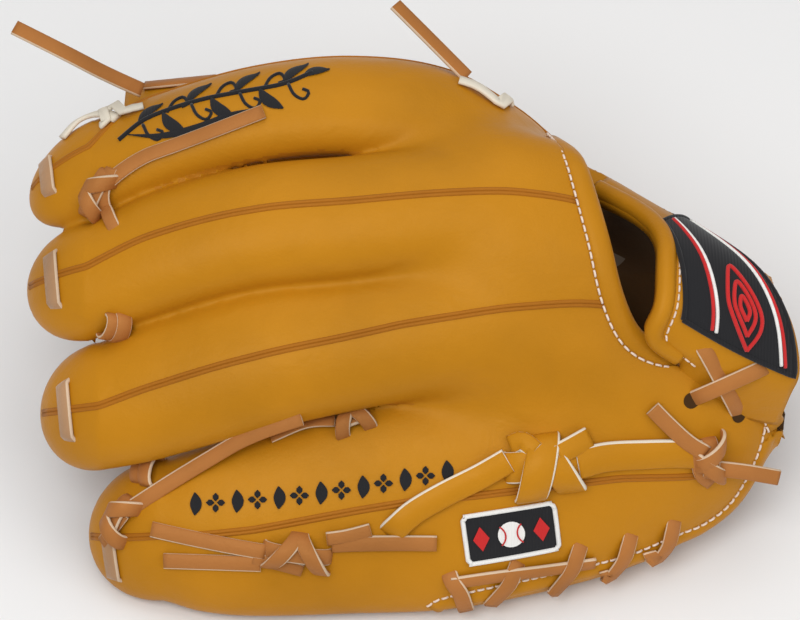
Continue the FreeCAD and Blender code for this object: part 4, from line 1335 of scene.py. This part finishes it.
def vine():
    """Scrolling vine embroidered on the index stall."""
    parts = []
    main = [(-116, 70), (-106, 78), (-94, 83), (-80, 87), (-64, 90), (-48, 93), (-36, 98)]
    parts.append(stem(main, 1.0))
    for k, x in enumerate((-108, -98, -88, -78, -68, -58, -48)):
        base = np.interp(x, [p[0] for p in main], [p[1] for p in main])
        up = 1 if k % 2 == 0 else -1
        parts.append(blade([(x, base), (x + LEAF_LEAN * 0.6, base + up * 5.0),
                            (x + LEAF_LEAN * 1.7, base + up * 8.5)], 5.2))
        curl = [(x + 2, base), (x + 4.5, base - up * 4.5), (x + 8.5, base - up * 6.5),
                (x + 10.5, base - up * 3.5), (x + 8.0, base - up * 2.2)]
        parts.append(stem(curl, 0.7))
    parts.append(blade([(-40, 96), (-35, 98.5), (-29, 99)], 5.5))
    sweep = [(-112, 72), (-98, 71.5), (-84, 74.5), (-70, 80), (-60, 82.5)]
    parts.append(blade(sweep, 3.4))
    piece("embroidery_vine", *joined(parts), "black", ROOT, ["embroidery_index"],
          "embroidery_thread")


def ornaments():
    """Row of lozenges and four-petal flowers embroidered on the pinky stall."""
    parts = []
    for k in range(13):
        share = k / 12.0
        x = -84 + 103 * share
        y = -79.5 + 13.5 * share - 2.0 * math.sin(math.pi * share)
        if k % 2 == 0:
            parts.append(blade([(x, y - 4.6), (x + 0.5, y), (x, y + 4.6)], 5.0))
        else:
            for u, v in ((1, 0), (-1, 0), (0, 1), (0, -1)):
                parts.append(blade([(x + u * 0.6, y + v * 0.6), (x + u * 2.2, y + v * 2.2),
                                    (x + u * 3.9, y + v * 3.9)], 2.8))
    piece("embroidery_ornaments", *joined(parts), "black", ROOT, ["embroidery_pinky"],
          "embroidery_thread")


vine()
ornaments()


# ---- Web lacing ----
def web_ties():
    """Laces of the web along the index side and the thumb side."""
    parts = []
    for angle, stations in ((-4, (-108, -98, -88, -78)), (50, (-70, -60, -50, -40))):
        x = np.linspace(stations[0], stations[-1], 24)
        turn = math.radians(angle)
        out = FOLD_OUT * math.cos(turn) + FOLD_DOWN * math.sin(turn)
        table = np.array(FOLD_RADIUS, float)
        radius = np.interp(x, table[:, 0], table[:, 1]) + 3.4
        path = crease_point(x) + out * radius[:, None]
        parts.append(ribbon_parts(path, np.repeat(out[None], len(x), axis=0)))
    bending(lace_object("lace_web_index", parts[:1]), ["web_lace"])
    bending(lace_object("lace_web_thumb", parts[1:]), ["web_thumb_lace"])


web_ties()


def web_ends():
    """Pale raw ends of the web leather, tied beside the index finger."""
    parts = [lying([(-140, 71, 0.4), (-133, 77, 1.6), (-124, 80, 1.4), (-117, 79, 0.2)], 0.8, 5.0),
             lying([(-128, 83, 0.2), (-120, 81, 2.4), (-114, 86, 1.6), (-108, 88, 0.2)], 0.8, 4.4),
             lying([(26, 98.5, 0.6), (34, 96, 1.6), (41, 91, 1.2), (46, 85, 0.2)], 0.8, 5.6)]
    lace_piece("web_raw_ends", parts, materials=("pale", "pale"))


web_ends()
